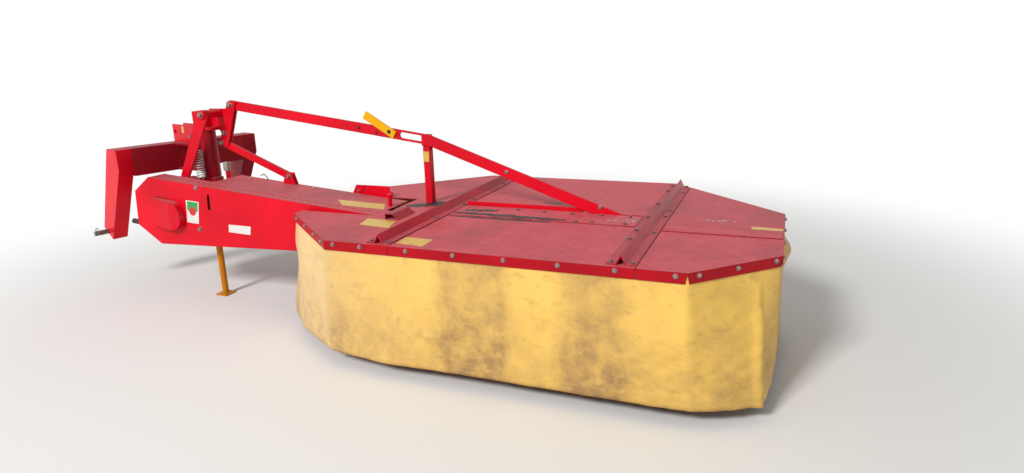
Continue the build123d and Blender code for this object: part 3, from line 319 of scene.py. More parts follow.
@dataclass(frozen=True)
class CoatedTarpaulin:
    """PVC-coated polyester tarpaulin, calendered: a soft satin skin over a fine weave, soiled by use."""

    name: str = "pvc_tarpaulin"
    clean: str = "#f3c764"
    soil: str = "#a37e4e"
    deep_soil: str = "#7c6038"
    thread: str = "#c9a24a"
    hem_height: float = 36 * MM
    hem_length: float = 6.6
    # Metres along the hem and the skin's colour there: the first facets are paler, painted light where they
    # face the light, and the facet round the right end, from 2.54 to 3.15 m, is deeper orange, painted shade
    # where it faces away
    tones: tuple[tuple[float, str], ...] = (
        (0.0, "#dfc08e"), (0.10, "#ebcc92"), (0.50, "#eac98a"), (0.64, "#ebc272"),
        (1.0, "#f0c464"), (2.05, "#f4c65c"), (2.25, "#f4c658"), (2.46, "#f2c45a"),
        (2.54, "#dca03c"), (3.15, "#dca444"), (3.5, "#efc66c"), (6.6, "#efc66c"),
    )
    # Metres along the hem and the share of brown soil there, in bands a panel's width each
    bands: tuple[tuple[float, float], ...] = (
        (0.0, 0.12), (0.06, 0.30), (0.13, 0.05), (0.48, 0.06), (0.60, 0.26), (0.72, 0.12), (1.07, 0.03),
        (1.115, 0.46), (1.36, 0.50), (1.41, 0.12), (1.55, 0.01), (1.60, 0.40), (1.80, 0.58), (1.87, 0.18),
        (2.02, 0.06), (2.10, 0.20), (2.22, 0.26), (2.34, 0.04), (2.42, 0.22), (2.75, 0.12), (3.10, 0.44),
        (3.60, 0.08), (4.05, 0.50), (4.50, 0.10), (5.00, 0.46), (5.50, 0.10), (6.0, 0.40), (6.6, 0.20),
    )

    # The bands' edges wander by a hand's breadth
    WANDER = Patches(340, 6.0, 0.3, 0.7, least=-0.006, most=0.006, ragged=0.6)
    # Mottling of some 90 mm breaks the bands up
    MOTTLE = Patches(95, 10.0, 0.36, 0.64, least=0.55, most=1.45, ragged=0.68)
    # Splashes of mud, 10 to 25 mm
    SPECKS = Patches(24, 7.0, 0.58, 0.72, most=0.42, ragged=0.72)
    # Stitches 6 mm long at a 6 mm pitch, drawn on one of 12 mm so that they show
    STITCH_PITCH_MM = 12.0
    STITCH_SHARE = 0.6
    # Threads of 1 mm, drawn at 3 mm so that they show close by
    THREAD_MM = 3.0
    CREASE_MM = 240.0

    def skin_and_soil(self, tree: Tree, share: Socket, up: Socket, place: Socket) -> tuple[Socket, Socket]:
        """Add the skin and the bands of soil on it, broken up by mottling and deeper towards the hem.

        Args:
            tree: The node tree that takes them.
            share: Share of the hem's length, 0 to 1.
            up: Height over the hem, in metres.
            place: Place on the cloth, in metres.

        Returns:
            The bare skin's colour and the share that soil covers.
        """
        shifted = add(tree, "ShaderNodeMath", {0: share, 1: self.WANDER.share(tree, place)}, operation="ADD")
        blends = []
        for at, stops in ((share, self.tones), (shifted.outputs[0], self.bands)):
            blend = add(tree, "ShaderNodeValToRGB", {0: at})
            elements = blend.color_ramp.elements
            for index, (metres, level) in enumerate(stops):
                spot = metres / self.hem_length
                element = elements[index] if index < 2 else elements.new(spot)
                element.position = spot
                element.color = linear(level) if isinstance(level, str) else (level, level, level, 1.0)
            blends.append(blend.outputs[0])
        skin, bands = blends
        mottle = self.MOTTLE.share(tree, place)
        low = add(
            tree, "ShaderNodeMapRange", {"Value": up, "From Min": 0.34, "From Max": 0.08, "To Max": 0.3}
        )
        soil = add(tree, "ShaderNodeMath", {0: bands, 1: low.outputs[0]}, operation="ADD").outputs[0]
        soil = add(tree, "ShaderNodeMath", {0: soil, 1: mottle}, operation="MULTIPLY", use_clamp=True)
        return skin, soil.outputs[0]

    def stitches(self, tree: Tree, run: Socket, up: Socket) -> Socket:
        """Return the share of the hem's stitches, from the run along the hem and the height over it."""
        away = add(tree, "ShaderNodeMath", {0: up, 1: self.hem_height}, operation="SUBTRACT")
        away = add(tree, "ShaderNodeMath", {0: away.outputs[0]}, operation="ABSOLUTE").outputs[0]
        seam = {"Value": away, "From Min": 2.5 * MM, "From Max": 1 * MM, "To Max": 0.8}
        seam = add(tree, "ShaderNodeMapRange", seam)
        dash = add(tree, "ShaderNodeMath", {0: run, 1: per_metre(self.STITCH_PITCH_MM)}, operation="MULTIPLY")
        dash = add(tree, "ShaderNodeMath", {0: dash.outputs[0]}, operation="FRACT")
        dash = add(tree, "ShaderNodeMath", {0: dash.outputs[0], 1: self.STITCH_SHARE}, operation="LESS_THAN")
        both = {0: dash.outputs[0], 1: seam.outputs[0]}
        return add(tree, "ShaderNodeMath", both, operation="MULTIPLY").outputs[0]

    def weave_and_creases(self, tree: Tree, cloth: Socket, place: Socket) -> tuple[Socket, Socket]:
        """Return the height of the weave under its coat, and that of set creases a forearm apart."""
        weave = {"Vector": cloth, "Scale": per_metre(self.THREAD_MM), "Randomness": 0.15}
        weave = add(tree, "ShaderNodeTexVoronoi", weave)
        bent = add(tree, "ShaderNodeTexNoise", {"Vector": place, "Scale": per_metre(260), "Detail": 2.0})
        bent = {MIX_FACTOR: 0.18, MIX_A: place, MIX_B: bent.outputs[1]}
        bent = add(tree, "ShaderNodeMix", bent, data_type="RGBA").outputs[MIX_RESULT]
        crease = {"Vector": bent, "Scale": per_metre(self.CREASE_MM)}
        crease = add(tree, "ShaderNodeTexVoronoi", crease, feature="DISTANCE_TO_EDGE").outputs[0]
        crease = add(tree, "ShaderNodeMapRange", {"Value": crease, "From Min": 0.0, "From Max": 0.05})
        return weave.outputs[0], crease.outputs[0]

    def material(self) -> bpy.types.Material:
        """Return the tarpaulin's material: skin, soil, splashes, creases, weave and the hem's stitches."""
        material, tree = start_material(self.name)
        where = add(tree, "ShaderNodeTexCoord")
        cloth, place = where.outputs["UV"], where.outputs["Object"]
        axes = add(tree, "ShaderNodeSeparateXYZ", {0: cloth})
        run, up = axes.outputs["X"], axes.outputs["Y"]
        share = add(tree, "ShaderNodeMath", {0: run, 1: self.hem_length}, operation="DIVIDE").outputs[0]
        skin, soil = self.skin_and_soil(tree, share, up, place)
        # Scuffs and runs, twice as long as wide, that lie across the bands
        scuff = {"Vector": cloth, "Scale": (9.0, 17.0, 1.0), "Rotation": (0.0, 0.0, 0.5)}
        scuff = add(tree, "ShaderNodeMapping", scuff).outputs[0]
        scuff = {"Vector": scuff, "Scale": 1.0, "Detail": 9.0, "Roughness": 0.66, "Distortion": 0.7}
        scuff = add(tree, "ShaderNodeTexNoise", scuff).outputs[0]
        dark = add(
            tree, "ShaderNodeMapRange", {"Value": scuff, "From Min": 0.55, "From Max": 0.72, "To Max": 0.45}
        )
        light = add(
            tree, "ShaderNodeMapRange", {"Value": scuff, "From Min": 0.42, "From Max": 0.3, "To Max": 0.4}
        )
        layers = (
            (soil, self.soil),
            (dark.outputs[0], self.soil),
            (light.outputs[0], self.clean),
            (self.SPECKS.share(tree, place), self.deep_soil),
            (self.stitches(tree, run, up), self.thread),
        )
        weave, crease = self.weave_and_creases(tree, cloth, place)
        # Light goes a little way into the coat, red the furthest
        gloss = {
            "Roughness": 0.52,
            "IOR": 1.52,
            "Subsurface Weight": 0.06,
            "Subsurface Radius": (0.004, 0.003, 0.001),
        }
        close_surface(tree, skin, layers, ((weave, 0.15, 0.3 * MM), (crease, 0.16, 1 * MM)), gloss)
        return material


@dataclass(frozen=True)
class WornMetal:
    """Rolled, cast or plated metal left bare: rubbed bright in places and browned or greased in others."""

    name: str
    bright: str
    dull: str
    crust: str
    metallic: float = 0.85
    roughness: float = 0.42
    crust_share: float = 0.5
    crust_mm: float = 30.0
    crust_metallic: float = 0.05
    crust_roughness: float = 0.85

    def material(self) -> bpy.types.Material:
        """Return the metal's material: rubbed metal under patches of rust, grease or oxide."""
        material, tree = start_material(self.name)
        place = add(tree, "ShaderNodeTexCoord").outputs["Object"]
        rub = add(tree, "ShaderNodeTexNoise", {"Vector": place, "Scale": per_metre(9), "Detail": 6.0})
        edge = 0.72 - 0.4 * self.crust_share
        crust = Patches(self.crust_mm, 9.0, edge, edge + 0.1, ragged=0.7).share(tree, place)
        layers = ((rub.outputs[0], self.dull), (crust, self.crust))
        metal = {"Value": crust, "To Min": self.metallic, "To Max": self.crust_metallic}
        metal = add(tree, "ShaderNodeMapRange", metal)
        rough = {"Value": crust, "To Min": self.roughness, "To Max": self.crust_roughness}
        rough = add(tree, "ShaderNodeMapRange", rough)
        grit = add(tree, "ShaderNodeTexNoise", {"Vector": place, "Scale": per_metre(3), "Detail": 4.0})
        gloss = {"Metallic": metal.outputs[0], "Roughness": rough.outputs[0]}
        close_surface(tree, linear(self.bright), layers, [(grit.outputs[0], 0.35, 0.6 * MM)], gloss)
        return material


@dataclass(frozen=True)
class MouldedPolymer:
    """Moulded rubber, plastic or a printed vinyl film: an even skin that dust dulls."""

    name: str
    skin: str
    dust: str
    roughness: float = 0.55
    dust_share: float = 0.4
    grain_mm: float = 2.0

    def material(self) -> bpy.types.Material:
        """Return the polymer's material: skin, dust and moulded grain."""
        material, tree = start_material(self.name)
        place = add(tree, "ShaderNodeTexCoord").outputs["Object"]
        dust = Patches(28, 8.0, 0.42, 0.72, most=self.dust_share, ragged=0.68).share(tree, place)
        grain = add(tree, "ShaderNodeTexNoise", {"Vector": place, "Scale": per_metre(self.grain_mm)})
        gloss = {"Roughness": self.roughness, "IOR": 1.5}
        close_surface(
            tree, linear(self.skin), [(dust, self.dust)], [(grain.outputs[0], 0.15, 0.2 * MM)], gloss
        )
        return material


Finish = Union[SprayedEnamel, CoatedTarpaulin, WornMetal, MouldedPolymer]


@dataclass
class Palette:
    """All the finishes of the machine, made once each."""

    made: dict[str, bpy.types.Material] = field(default_factory=dict)

    RED = SprayedEnamel("sprayed_red_enamel", "#e30824", "#c4061f", "#bd4f56")
    COVER_RED = SprayedEnamel("sprayed_red_enamel_cover", "#b8061a", "#9c0516", "#d2626a", soil="#7d4f4f")
    # Brighter red for the bands along the strips' folded edges: a painted highlight
    RUBBED_RED = SprayedEnamel("sprayed_red_enamel_painted_highlight", "#c81a2c", "#b81626", "#c03a46", fade=0.5)
    # Deeper copy of the red for the ribs, whose slanted faces stand in shade: painted shade
    RIB_RED = SprayedEnamel("sprayed_red_enamel_ribs_painted_shade", "#cc2034", "#a81628", "#b0525a")
    # Darker copy of the red for the beams, the hood, the portal and the hub, which stand in shadow: painted
    # shade
    DULL_RED = SprayedEnamel("sprayed_red_enamel_painted_shade", "#a81426", "#84101e", "#a64c54")
    DUSTY_RED = SprayedEnamel(
        "sprayed_red_enamel_dusty", "#e30824", "#c4061f", "#c0686e", soil="#6c4c48", grime="#5c3c3a"
    )
    YELLOW = SprayedEnamel("sprayed_yellow_enamel", "#f6bd08", "#e2a208", "#e6b53c", soil="#7a5a2c", fade=0.5)
    # Darker orange copy of the yellow for the stand's leg: partly dirt, partly painted shade where it stands
    # in shadow
    DULL_YELLOW = SprayedEnamel(
        "sprayed_yellow_enamel_dirty_and_shaded", "#d98c0e", "#bf740c", "#c98d2c", soil="#7a5a2c", fade=0.5
    )
    CLOTH = CoatedTarpaulin()
    STEEL = WornMetal("rolled_steel_rubbed", "#8b8782", "#5f5852", "#5a3a28", crust_share=0.55)
    IRON = WornMetal("grey_iron_greased", "#4a4744", "#2c2a28", "#171514", metallic=0.55, crust_share=0.6)
    ZINC = WornMetal(
        "zinc_plated_bolts", "#a5958f", "#82716e", "#6b4a43", metallic=0.7, crust_share=0.3, crust_mm=12.0
    )
    SPRING = WornMetal(
        "phosphated_spring_wire", "#d2ccc8", "#8f8783", "#4a3530", metallic=0.6, crust_share=0.2, crust_mm=9.0
    )
    RUSTED = WornMetal(
        "rusted_bolts", "#8a6a6c", "#6a4c4e", "#4a2c28", metallic=0.4, crust_share=0.5, crust_mm=10.0
    )
    RUBBER = MouldedPolymer("moulded_black_rubber", "#17171a", "#4a4640")
    PLASTIC = MouldedPolymer("weathered_grey_plastic", "#a8a29c", "#6d6259", dust_share=0.6)
    VINYL = MouldedPolymer("printed_yellow_vinyl", "#e0b84a", "#a98a4c", roughness=0.4, dust_share=0.6)
    WHITE_VINYL = MouldedPolymer("printed_white_vinyl", "#e4e0dc", "#b9a49c", roughness=0.4, dust_share=0.4)
    PRIMER = MouldedPolymer("flaked_primer", "#d9c4bf", "#b98d8a", roughness=0.7, dust_share=0.5)
    GREEN_VINYL = MouldedPolymer("printed_green_vinyl", "#1f9d4c", "#5f8a5a", roughness=0.4, dust_share=0.4)
    RED_VINYL = MouldedPolymer("printed_red_vinyl", "#d2202c", "#a25a50", roughness=0.4, dust_share=0.4)
    # Black for the old grease, and for the plain black patches round the post's foot
    GREASE = MouldedPolymer(
        "old_grease_and_black_patches", "#151212", "#3f302d", roughness=0.6, dust_share=0.35, grain_mm=6.0
    )

    def get(self, finish: Finish) -> bpy.types.Material:
        """Return the material of a finish, made on first use."""
        if finish.name not in self.made:
            self.made[finish.name] = finish.material()
        return self.made[finish.name]


def soften(obj: bpy.types.Object, width: float) -> None:
    """Round a piece's edges and shade it by the size of its faces.

    Args:
        obj: The mesh object.
        width: Width of the rounding, in metres, or 0 for none.
    """
    obj.data.shade_smooth()
    weld = obj.modifiers.new("weld", "WELD")
    weld.merge_threshold = WELD_GAP
    if width:
        merge = obj.modifiers.new("coplanar", "DECIMATE")
        merge.decimate_type = "DISSOLVE"
        merge.angle_limit = FLAT_WITHIN
        bevel = obj.modifiers.new("bevel", "BEVEL")
        bevel.width = width
        bevel.segments = 2
        bevel.limit_method = "ANGLE"
        bevel.angle_limit = ROUND_OVER
        bevel.use_clamp_overlap = True
    shading = obj.modifiers.new("shading", "WEIGHTED_NORMAL")
    shading.keep_sharp = True


@dataclass(frozen=True)
class Hexagon:
    """A bolt's hexagon head on its washer: width over flats, height and washer radius, or 0 for none."""

    across: float
    height: float
    washer: float = 0.0

    WASHER_THICK = 1.8 * MM
    CHAMFER_FROM = 0.72
    CHAMFER_TOP = 0.84


RIM_BOLT = Hexagon(13 * MM, 5.5 * MM, 9.5 * MM)
SMALL_BOLT = Hexagon(13 * MM, 6 * MM, 10 * MM)
RIB_BOLT = Hexagon(14 * MM, 6 * MM, 10 * MM)
LID_BOLT = Hexagon(13 * MM, 6 * MM, 11 * MM)
HOUSING_BOLT = Hexagon(17 * MM, 7 * MM, 13 * MM)
SIGN_BOLT = Hexagon(17 * MM, 8 * MM, 12 * MM)
GUARD_BOLT = Hexagon(19 * MM, 9 * MM, 14 * MM)
FOOT_BOLT = Hexagon(19 * MM, 10 * MM, 13 * MM)
STRUT_BOLT = Hexagon(22 * MM, 11 * MM, 16 * MM)
ROCKER_BOLT = Hexagon(22 * MM, 12 * MM, 16 * MM)
POST_BOLT = Hexagon(24 * MM, 12 * MM, 16 * MM)
LEVER_BOLT = Hexagon(14 * MM, 7 * MM, 10 * MM)
BRACKET_BOLT = Hexagon(13 * MM, 5 * MM)
BAR_BOLT = Hexagon(13 * MM, 6 * MM)
RING_SIDES = 20  # corners of a bent wire ring


def circle(centre: Vector, first: Vector, second: Vector, sides: int, turn: float = 0.0) -> list[Vector]:
    """Return the corners of a circle.

    Args:
        centre: Its centre.
        first: Radius towards the first corner.
        second: Radius a quarter turn on.
        sides: Count of corners.
        turn: Angle of the first corner.

    Returns:
        The corners in order.
    """
    angles = [turn + math.tau * k / sides for k in range(sides)]
    return [centre + first * math.cos(angle) + second * math.sin(angle) for angle in angles]


class Shape:
    """Gathers the faces of one joined mesh, in metres in the frame."""

    def __init__(self) -> None:
        """Start with no faces."""
        self.points: list[Vector] = []
        self.faces: list[tuple[int, ...]] = []

    def rings(self, stack: Sequence[Sequence[Vector]]) -> None:
        """Bridge closed rings of equal count in order, and close the first and the last with a face.

        Args:
            stack: The rings, each a list of points.
        """
        first, count = len(self.points), len(stack[0])
        for ring in stack:
            self.points.extend(ring)
        for level in range(len(stack) - 1):
            low = first + level * count
            for i in range(count):
                j = (i + 1) % count
                self.faces.append((low + i, low + j, low + count + j, low + count + i))
        self.faces.append(tuple(range(first + count - 1, first - 1, -1)))
        last = first + (len(stack) - 1) * count
        self.faces.append(tuple(range(last, last + count)))

    def lathe(
        self, base: Vector, axis: Vector, profile: Sequence[Spot], sides: int = 20, turn: float = 0.0
    ) -> None:
        """Turn a profile about an axis.

        Args:
            base: Foot of the axis.
            axis: Direction of the axis.
            profile: Pairs of radius and height along the axis, from the foot up.
            sides: Corners of each ring.
            turn: Angle of the first corner.
        """
        axis = axis.normalized()
        across = axis.orthogonal().normalized()
        other = axis.cross(across)
        self.rings(
            [circle(base + axis * up, across * radius, other * radius, sides, turn) for radius, up in profile]
        )

    def bolt(self, at: Vector, normal: Vector, size: Hexagon) -> None:
        """Add a hexagon head, chamfered, on its washer.

        Args:
            at: Where the bolt's axis meets the face.
            normal: Outward direction of the face.
            size: The head and its washer.
        """
        lift, washer = 0.0, size.washer
        if washer:
            lift = size.WASHER_THICK
            self.lathe(at, normal, ((washer, -0.5 * MM), (washer, lift * 0.7), (washer * 0.93, lift)))
        corner, chamfer = size.across / math.sqrt(3), lift + size.height * size.CHAMFER_FROM
        head = ((corner, lift - 0.3 * MM), (corner, chamfer), (corner * size.CHAMFER_TOP, lift + size.height))
        # No two heads stand turned alike
        self.lathe(at, normal, head, sides=6, turn=(at.x + at.y) * 40)

    def tube(self, path: Sequence[Vector], radius: float, sides: int = 10) -> None:
        """Sweep a round section along a path.

        Args:
            path: Points of the centre line.
            radius: Radius of the section.
            sides: Corners of the section.
        """
        across = (path[1] - path[0]).normalized().orthogonal().normalized()
        stack = []
        for i, point in enumerate(path):
            before, after = path[max(i - 1, 0)], path[min(i + 1, len(path) - 1)]
            turned = (after - before).normalized()
            across = (across - turned * across.dot(turned)).normalized()
            stack.append(circle(point, across * radius, turned.cross(across) * radius, sides))
        self.rings(stack)

    def slab(self, outline: Sequence[Vector], thickness: Vector) -> None:
        """Add a plate from its outline.

        Args:
            outline: Corners of the plate's back face.
            thickness: Vector from the back face to the front face.
        """
        self.rings([list(outline), [p + thickness for p in outline]])

    def build(
        self, name: str, material: bpy.types.Material, body: Body, slot: Slot, edge: float = 0.0
    ) -> bpy.types.Object:
        """Make the object, dress it and let it ride.

        Args:
            name: Name of the piece.
            material: Its material.
            body: The body that it moves with.
            slot: The record's slot that its finish stands for; it is not used.
            edge: Width of its rounded edges.

        Returns:
            The new object.
        """
        mesh = bpy.data.meshes.new(name)
        mesh.from_pydata([p[:] for p in self.points], [], self.faces)
        mesh.update()
        obj = bpy.data.objects.new(name, mesh)
        bpy.context.scene.collection.objects.link(obj)
        obj.data.materials.append(material)
        soften(obj, edge)
        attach(obj, body.value)
        log.info("%s: %d faces", name, len(self.faces))
        return obj


def on_arm(along: float, up: float, y: float) -> Vector:
    """Return the frame's point at a distance along and above the arm's axis, both from the hinge."""
    cos, sin = math.cos(ARM_TILT), math.sin(ARM_TILT)
    return Vector((HINGE.x - along * cos + up * sin, y, HINGE.z + along * sin + up * cos))


def on_portal(out: float, across: float, z: float) -> Vector:
    """Return the frame's point at a distance out from the kingpin and across the portal."""
    cos, sin = math.cos(SWING), math.sin(SWING)
    return Vector((KINGPIN.x + out * cos + across * sin, -out * sin + across * cos, z))


@dataclass
class DressedSolids:
    """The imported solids, each with the finish of its slot and softened edges."""

    palette: Palette
    edge: float = 1.3 * MM
    # Solids whose finish has aged apart from the rest of its slot, and solids given darker copies of the red
    # and yellow as painted shade
    aged: tuple[tuple[SprayedEnamel, tuple[str, ...]], ...] = (
        (Palette.DULL_RED, ("arm_beam", "cover_bearers", "gear_beam", "housing_hood")),
        (Palette.DULL_RED, ("portal_beam", "portal_leg_far", "hub_plates", "swing_hub")),
        (Palette.RIB_RED, ("cover_rib_left", "cover_rib_right")),
        (Palette.COVER_RED, ("cover_left", "cover_middle", "cover_right", "cover_strips")),
        (Palette.DUSTY_RED, ("arm_lid", "belt_housing")),
        (Palette.DULL_YELLOW, ("stand_leg",)),
    )
    # Solids whose edges stay as they are
    plain: tuple[str, ...] = ("drum_inner", "drum_outer", "skid_inner", "skid_outer", "input_stub")

    def finishes(self) -> dict[str, Finish]:
        """Return the finish of each slot."""
        return {slot.value: getattr(Palette, slot.name) for slot in Slot}

    def dress(self, frame: dict) -> None:
        """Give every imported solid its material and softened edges.
        """
        slots = {part["node"]: part["material_slot"] for part in frame["record"]["subparts"]}
        finishes = self.finishes()
        named = {name: finish for finish, names in self.aged for name in names}
        for name, obj in frame["nodes"].items():
            finish = named.get(name, finishes[slots[name]])
            obj.data.materials.clear()
            obj.data.materials.append(self.palette.get(finish))
            soften(obj, 0.0 if name in self.plain else self.edge)
        log.info("dressed %d solids", len(frame["nodes"]))


@dataclass
class Skirt:
    """Cloth skirt that hangs inside the cover's rim, bolted along its top and hemmed along its foot."""

    palette: Palette
    panels: tuple[str, ...]
    top_z: float = 0.5605
    hem_z: float = 0.060
    step: float = 10 * MM
    rows: int = 34
    thickness: float = 1.3 * MM
    # Metres along the hem of each set crease, and how proud it stands
    creases: tuple[tuple[float, float], ...] = (
        (0.548, 0.007), (1.115, 0.0025), (2.066, 0.005), (2.312, 0.012),
    )
    # Rim x and y, hem x and y, softness: where cloth leaves the rim, where its hem hangs, how round it turns
    stations: tuple[tuple[float, float, float, float, float], ...] = (
        (-0.325, -0.381, -0.368, -0.385, 0.03),
        (-0.197, -0.490, -0.214, -0.536, 0.07),
        (-0.047, -0.615, -0.056, -0.642, 0.07),
        (0.110, -0.744, 0.078, -0.716, 0.05),
        (0.250, -0.744, 0.240, -0.748, 0.07),
        (0.850, -0.744, 0.850, -0.750, 0.10),
        (1.450, -0.744, 1.465, -0.752, 0.10),
        (1.556, -0.744, 1.606, -0.738, 0.07),
        (1.676, -0.624, 1.722, -0.690, 0.05),
        (1.771, -0.529, 1.803, -0.629, 0.008),
        (1.842, -0.458, 1.836, -0.480, 0.03),
        (1.842, -0.150, 1.857, -0.150, 0.06),
        (1.842, 0.178, 1.852, 0.160, 0.05),
        (1.570, 0.460, 1.606, 0.498, 0.08),
        (1.296, 0.744, 1.280, 0.735, 0.05),
        (0.758, 0.744, 0.758, 0.757, 0.10),
        (0.220, 0.744, 0.235, 0.736, 0.05),
        (-0.054, 0.470, -0.088, 0.508, 0.08),
        (-0.325, 0.202, -0.348, 0.210, 0.03),
    )

    def between(self, lengths: Sequence[float], away: float) -> tuple[Vector, Vector, float]:
        """Look up the stations.

        Args:
            lengths: Length along the hem's straight runs at each station.
            away: The length along them that is asked for.

        Returns:
            The rim's point, the hem's point and the softness there.
        """
        away = min(max(away, 0.0), lengths[-1] - 1e-9)
        span = max(k for k, length in enumerate(lengths) if length <= away)
        share = (away - lengths[span]) / (lengths[span + 1] - lengths[span])
        a, b = self.stations[span], self.stations[span + 1]
        rim, hem = Vector(a[:2]).lerp(Vector(b[:2]), share), Vector(a[2:4]).lerp(Vector(b[2:4]), share)
        return rim, hem, a[4] + (b[4] - a[4]) * share

    def columns(self) -> list[tuple[Vector, Vector, float]]:
        """Return rim point, hem point and distance along the hem for each column of the cloth."""
        lengths = [0.0]
        for a, b in zip(self.stations, self.stations[1:]):
            lengths.append(lengths[-1] + (Vector(b[2:4]) - Vector(a[2:4])).length)
        count = round(lengths[-1] / self.step)
        found = []
        run = 0.0
        for k in range(count + 1):
            away = lengths[-1] * k / count
            rim, hem, soft = self.between(lengths, away)
            soft = min(soft, away, lengths[-1] - away)
            hem = (
                hem * 2 + self.between(lengths, away - soft)[1] + self.between(lengths, away + soft)[1]
            ) / 4
            if found:
                run += (hem - found[-1][1]).length
            found.append((rim, hem, run))
        return found

    def hang(self, run: float, down: float) -> float:
        """Return how far the cloth stands off its plain surface.

        Args:
            run: Distance along the hem.
            down: Share of the way down, 0 at the rim and 1 at the hem.

        Returns:
            The offset outward, in metres.
        """
        # Slow swing of the hem, and folds a hand wide that open below the rim
        broad = noise.noise(Vector((run * 2.3, down * 0.5, 3.1))) * 13 * MM * down
        folds = noise.noise(Vector((run * 6.5 + down * 2.4, down * 1.6, 9.4))) * 7 * MM * min(1.0, down * 2.2)
        crease = sum(math.exp(-(((run - at) / 0.016) ** 2)) * proud for at, proud in self.creases)
        crease *= min(1.0, down * 2.5)
        # Pulls that fan out from the rim, drawn tighter round the right-hand facets
        drawn = min(1.0, max(0.0, (run - 1.7) / 0.3)) * (1.0 if run < 2.6 else 0.4)
        fan = noise.noise(Vector((run * 9.0 + down * 7.5, run * 1.5 - down * 1.2, 5.0)))
        pulls = (0.5 - abs(fan)) * 9 * MM * (0.35 + 0.65 * drawn) * min(1.0, down * 3.0)
        fine = (
            noise.noise(Vector((run * 24.0 - down * 5.0, down * 9.0, 1.7))) * 1.6 * MM * min(1.0, down * 4.0)
        )
        # Slack that stands proud where the sheet turns round the right end
        slack = math.exp(-(((run - 2.84) / 0.13) ** 2)) * math.exp(-(((down - 0.05) / 0.11) ** 2))
        bulge = 36 * MM * slack * min(1.0, down / 0.06)
        # Puckers between the bolts, a loose near end and a curled hem
        puckers = math.sin(run * math.tau / 0.205) * 1.4 * MM * math.exp(-((down - 0.12) ** 2) / 0.008)
        ripple = math.sin(down * 9.0 + 0.6) * 9 * MM * math.exp(-run / 0.10) * min(1.0, down * 3.0)
        curl = noise.noise(Vector((run * 4.0, 0.0, 17.0))) * 5 * MM * max(0.0, down - 0.9) * 10
        return broad + folds + crease + pulls + fine + bulge + ripple + puckers + curl

    def build(self) -> bpy.types.Object:
        columns = self.columns()
        mesh = bpy.data.meshes.new("skirt_cloth")
        points, faces, marks = [], [], []
        for index, (rim, hem, run) in enumerate(columns):
            before, after = columns[max(index - 1, 0)], columns[min(index + 1, len(columns) - 1)]
            along = (after[1] - before[1]).normalized()
            outward = Vector((along.y, -along.x))
            for row in range(self.rows + 1):
                down = row / self.rows
                spread = max(0.0, (down - 0.07) / 0.93) ** 0.9
                point = rim.lerp(hem, spread) + outward * self.hang(run, max(0.0, down - 0.07))
                height = self.top_z + (self.hem_z - self.top_z) * down
                points.append((point.x, point.y, height))
                marks.append((run, height - self.hem_z))
        deep = self.rows + 1
        for index in range(len(columns) - 1):
            for row in range(self.rows):
                a = index * deep + row
                faces.append((a, a + 1, a + deep + 1, a + deep))
        mesh.from_pydata(points, [], faces)
        layer = mesh.uv_layers.new(name="cloth")
        for loop in mesh.loops:
            layer.data[loop.index].uv = marks[loop.vertex_index]
        mesh.update()
        obj = bpy.data.objects.new("skirt_cloth", mesh)
        bpy.context.scene.collection.objects.link(obj)
        mesh.materials.append(self.palette.get(Palette.CLOTH))
        mesh.shade_smooth()
        solid = obj.modifiers.new("thickness", "SOLIDIFY")
        solid.thickness = self.thickness
        solid.offset = 0.0
        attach(obj, Body.CUTTER.value)
        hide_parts(*self.panels)
        return obj


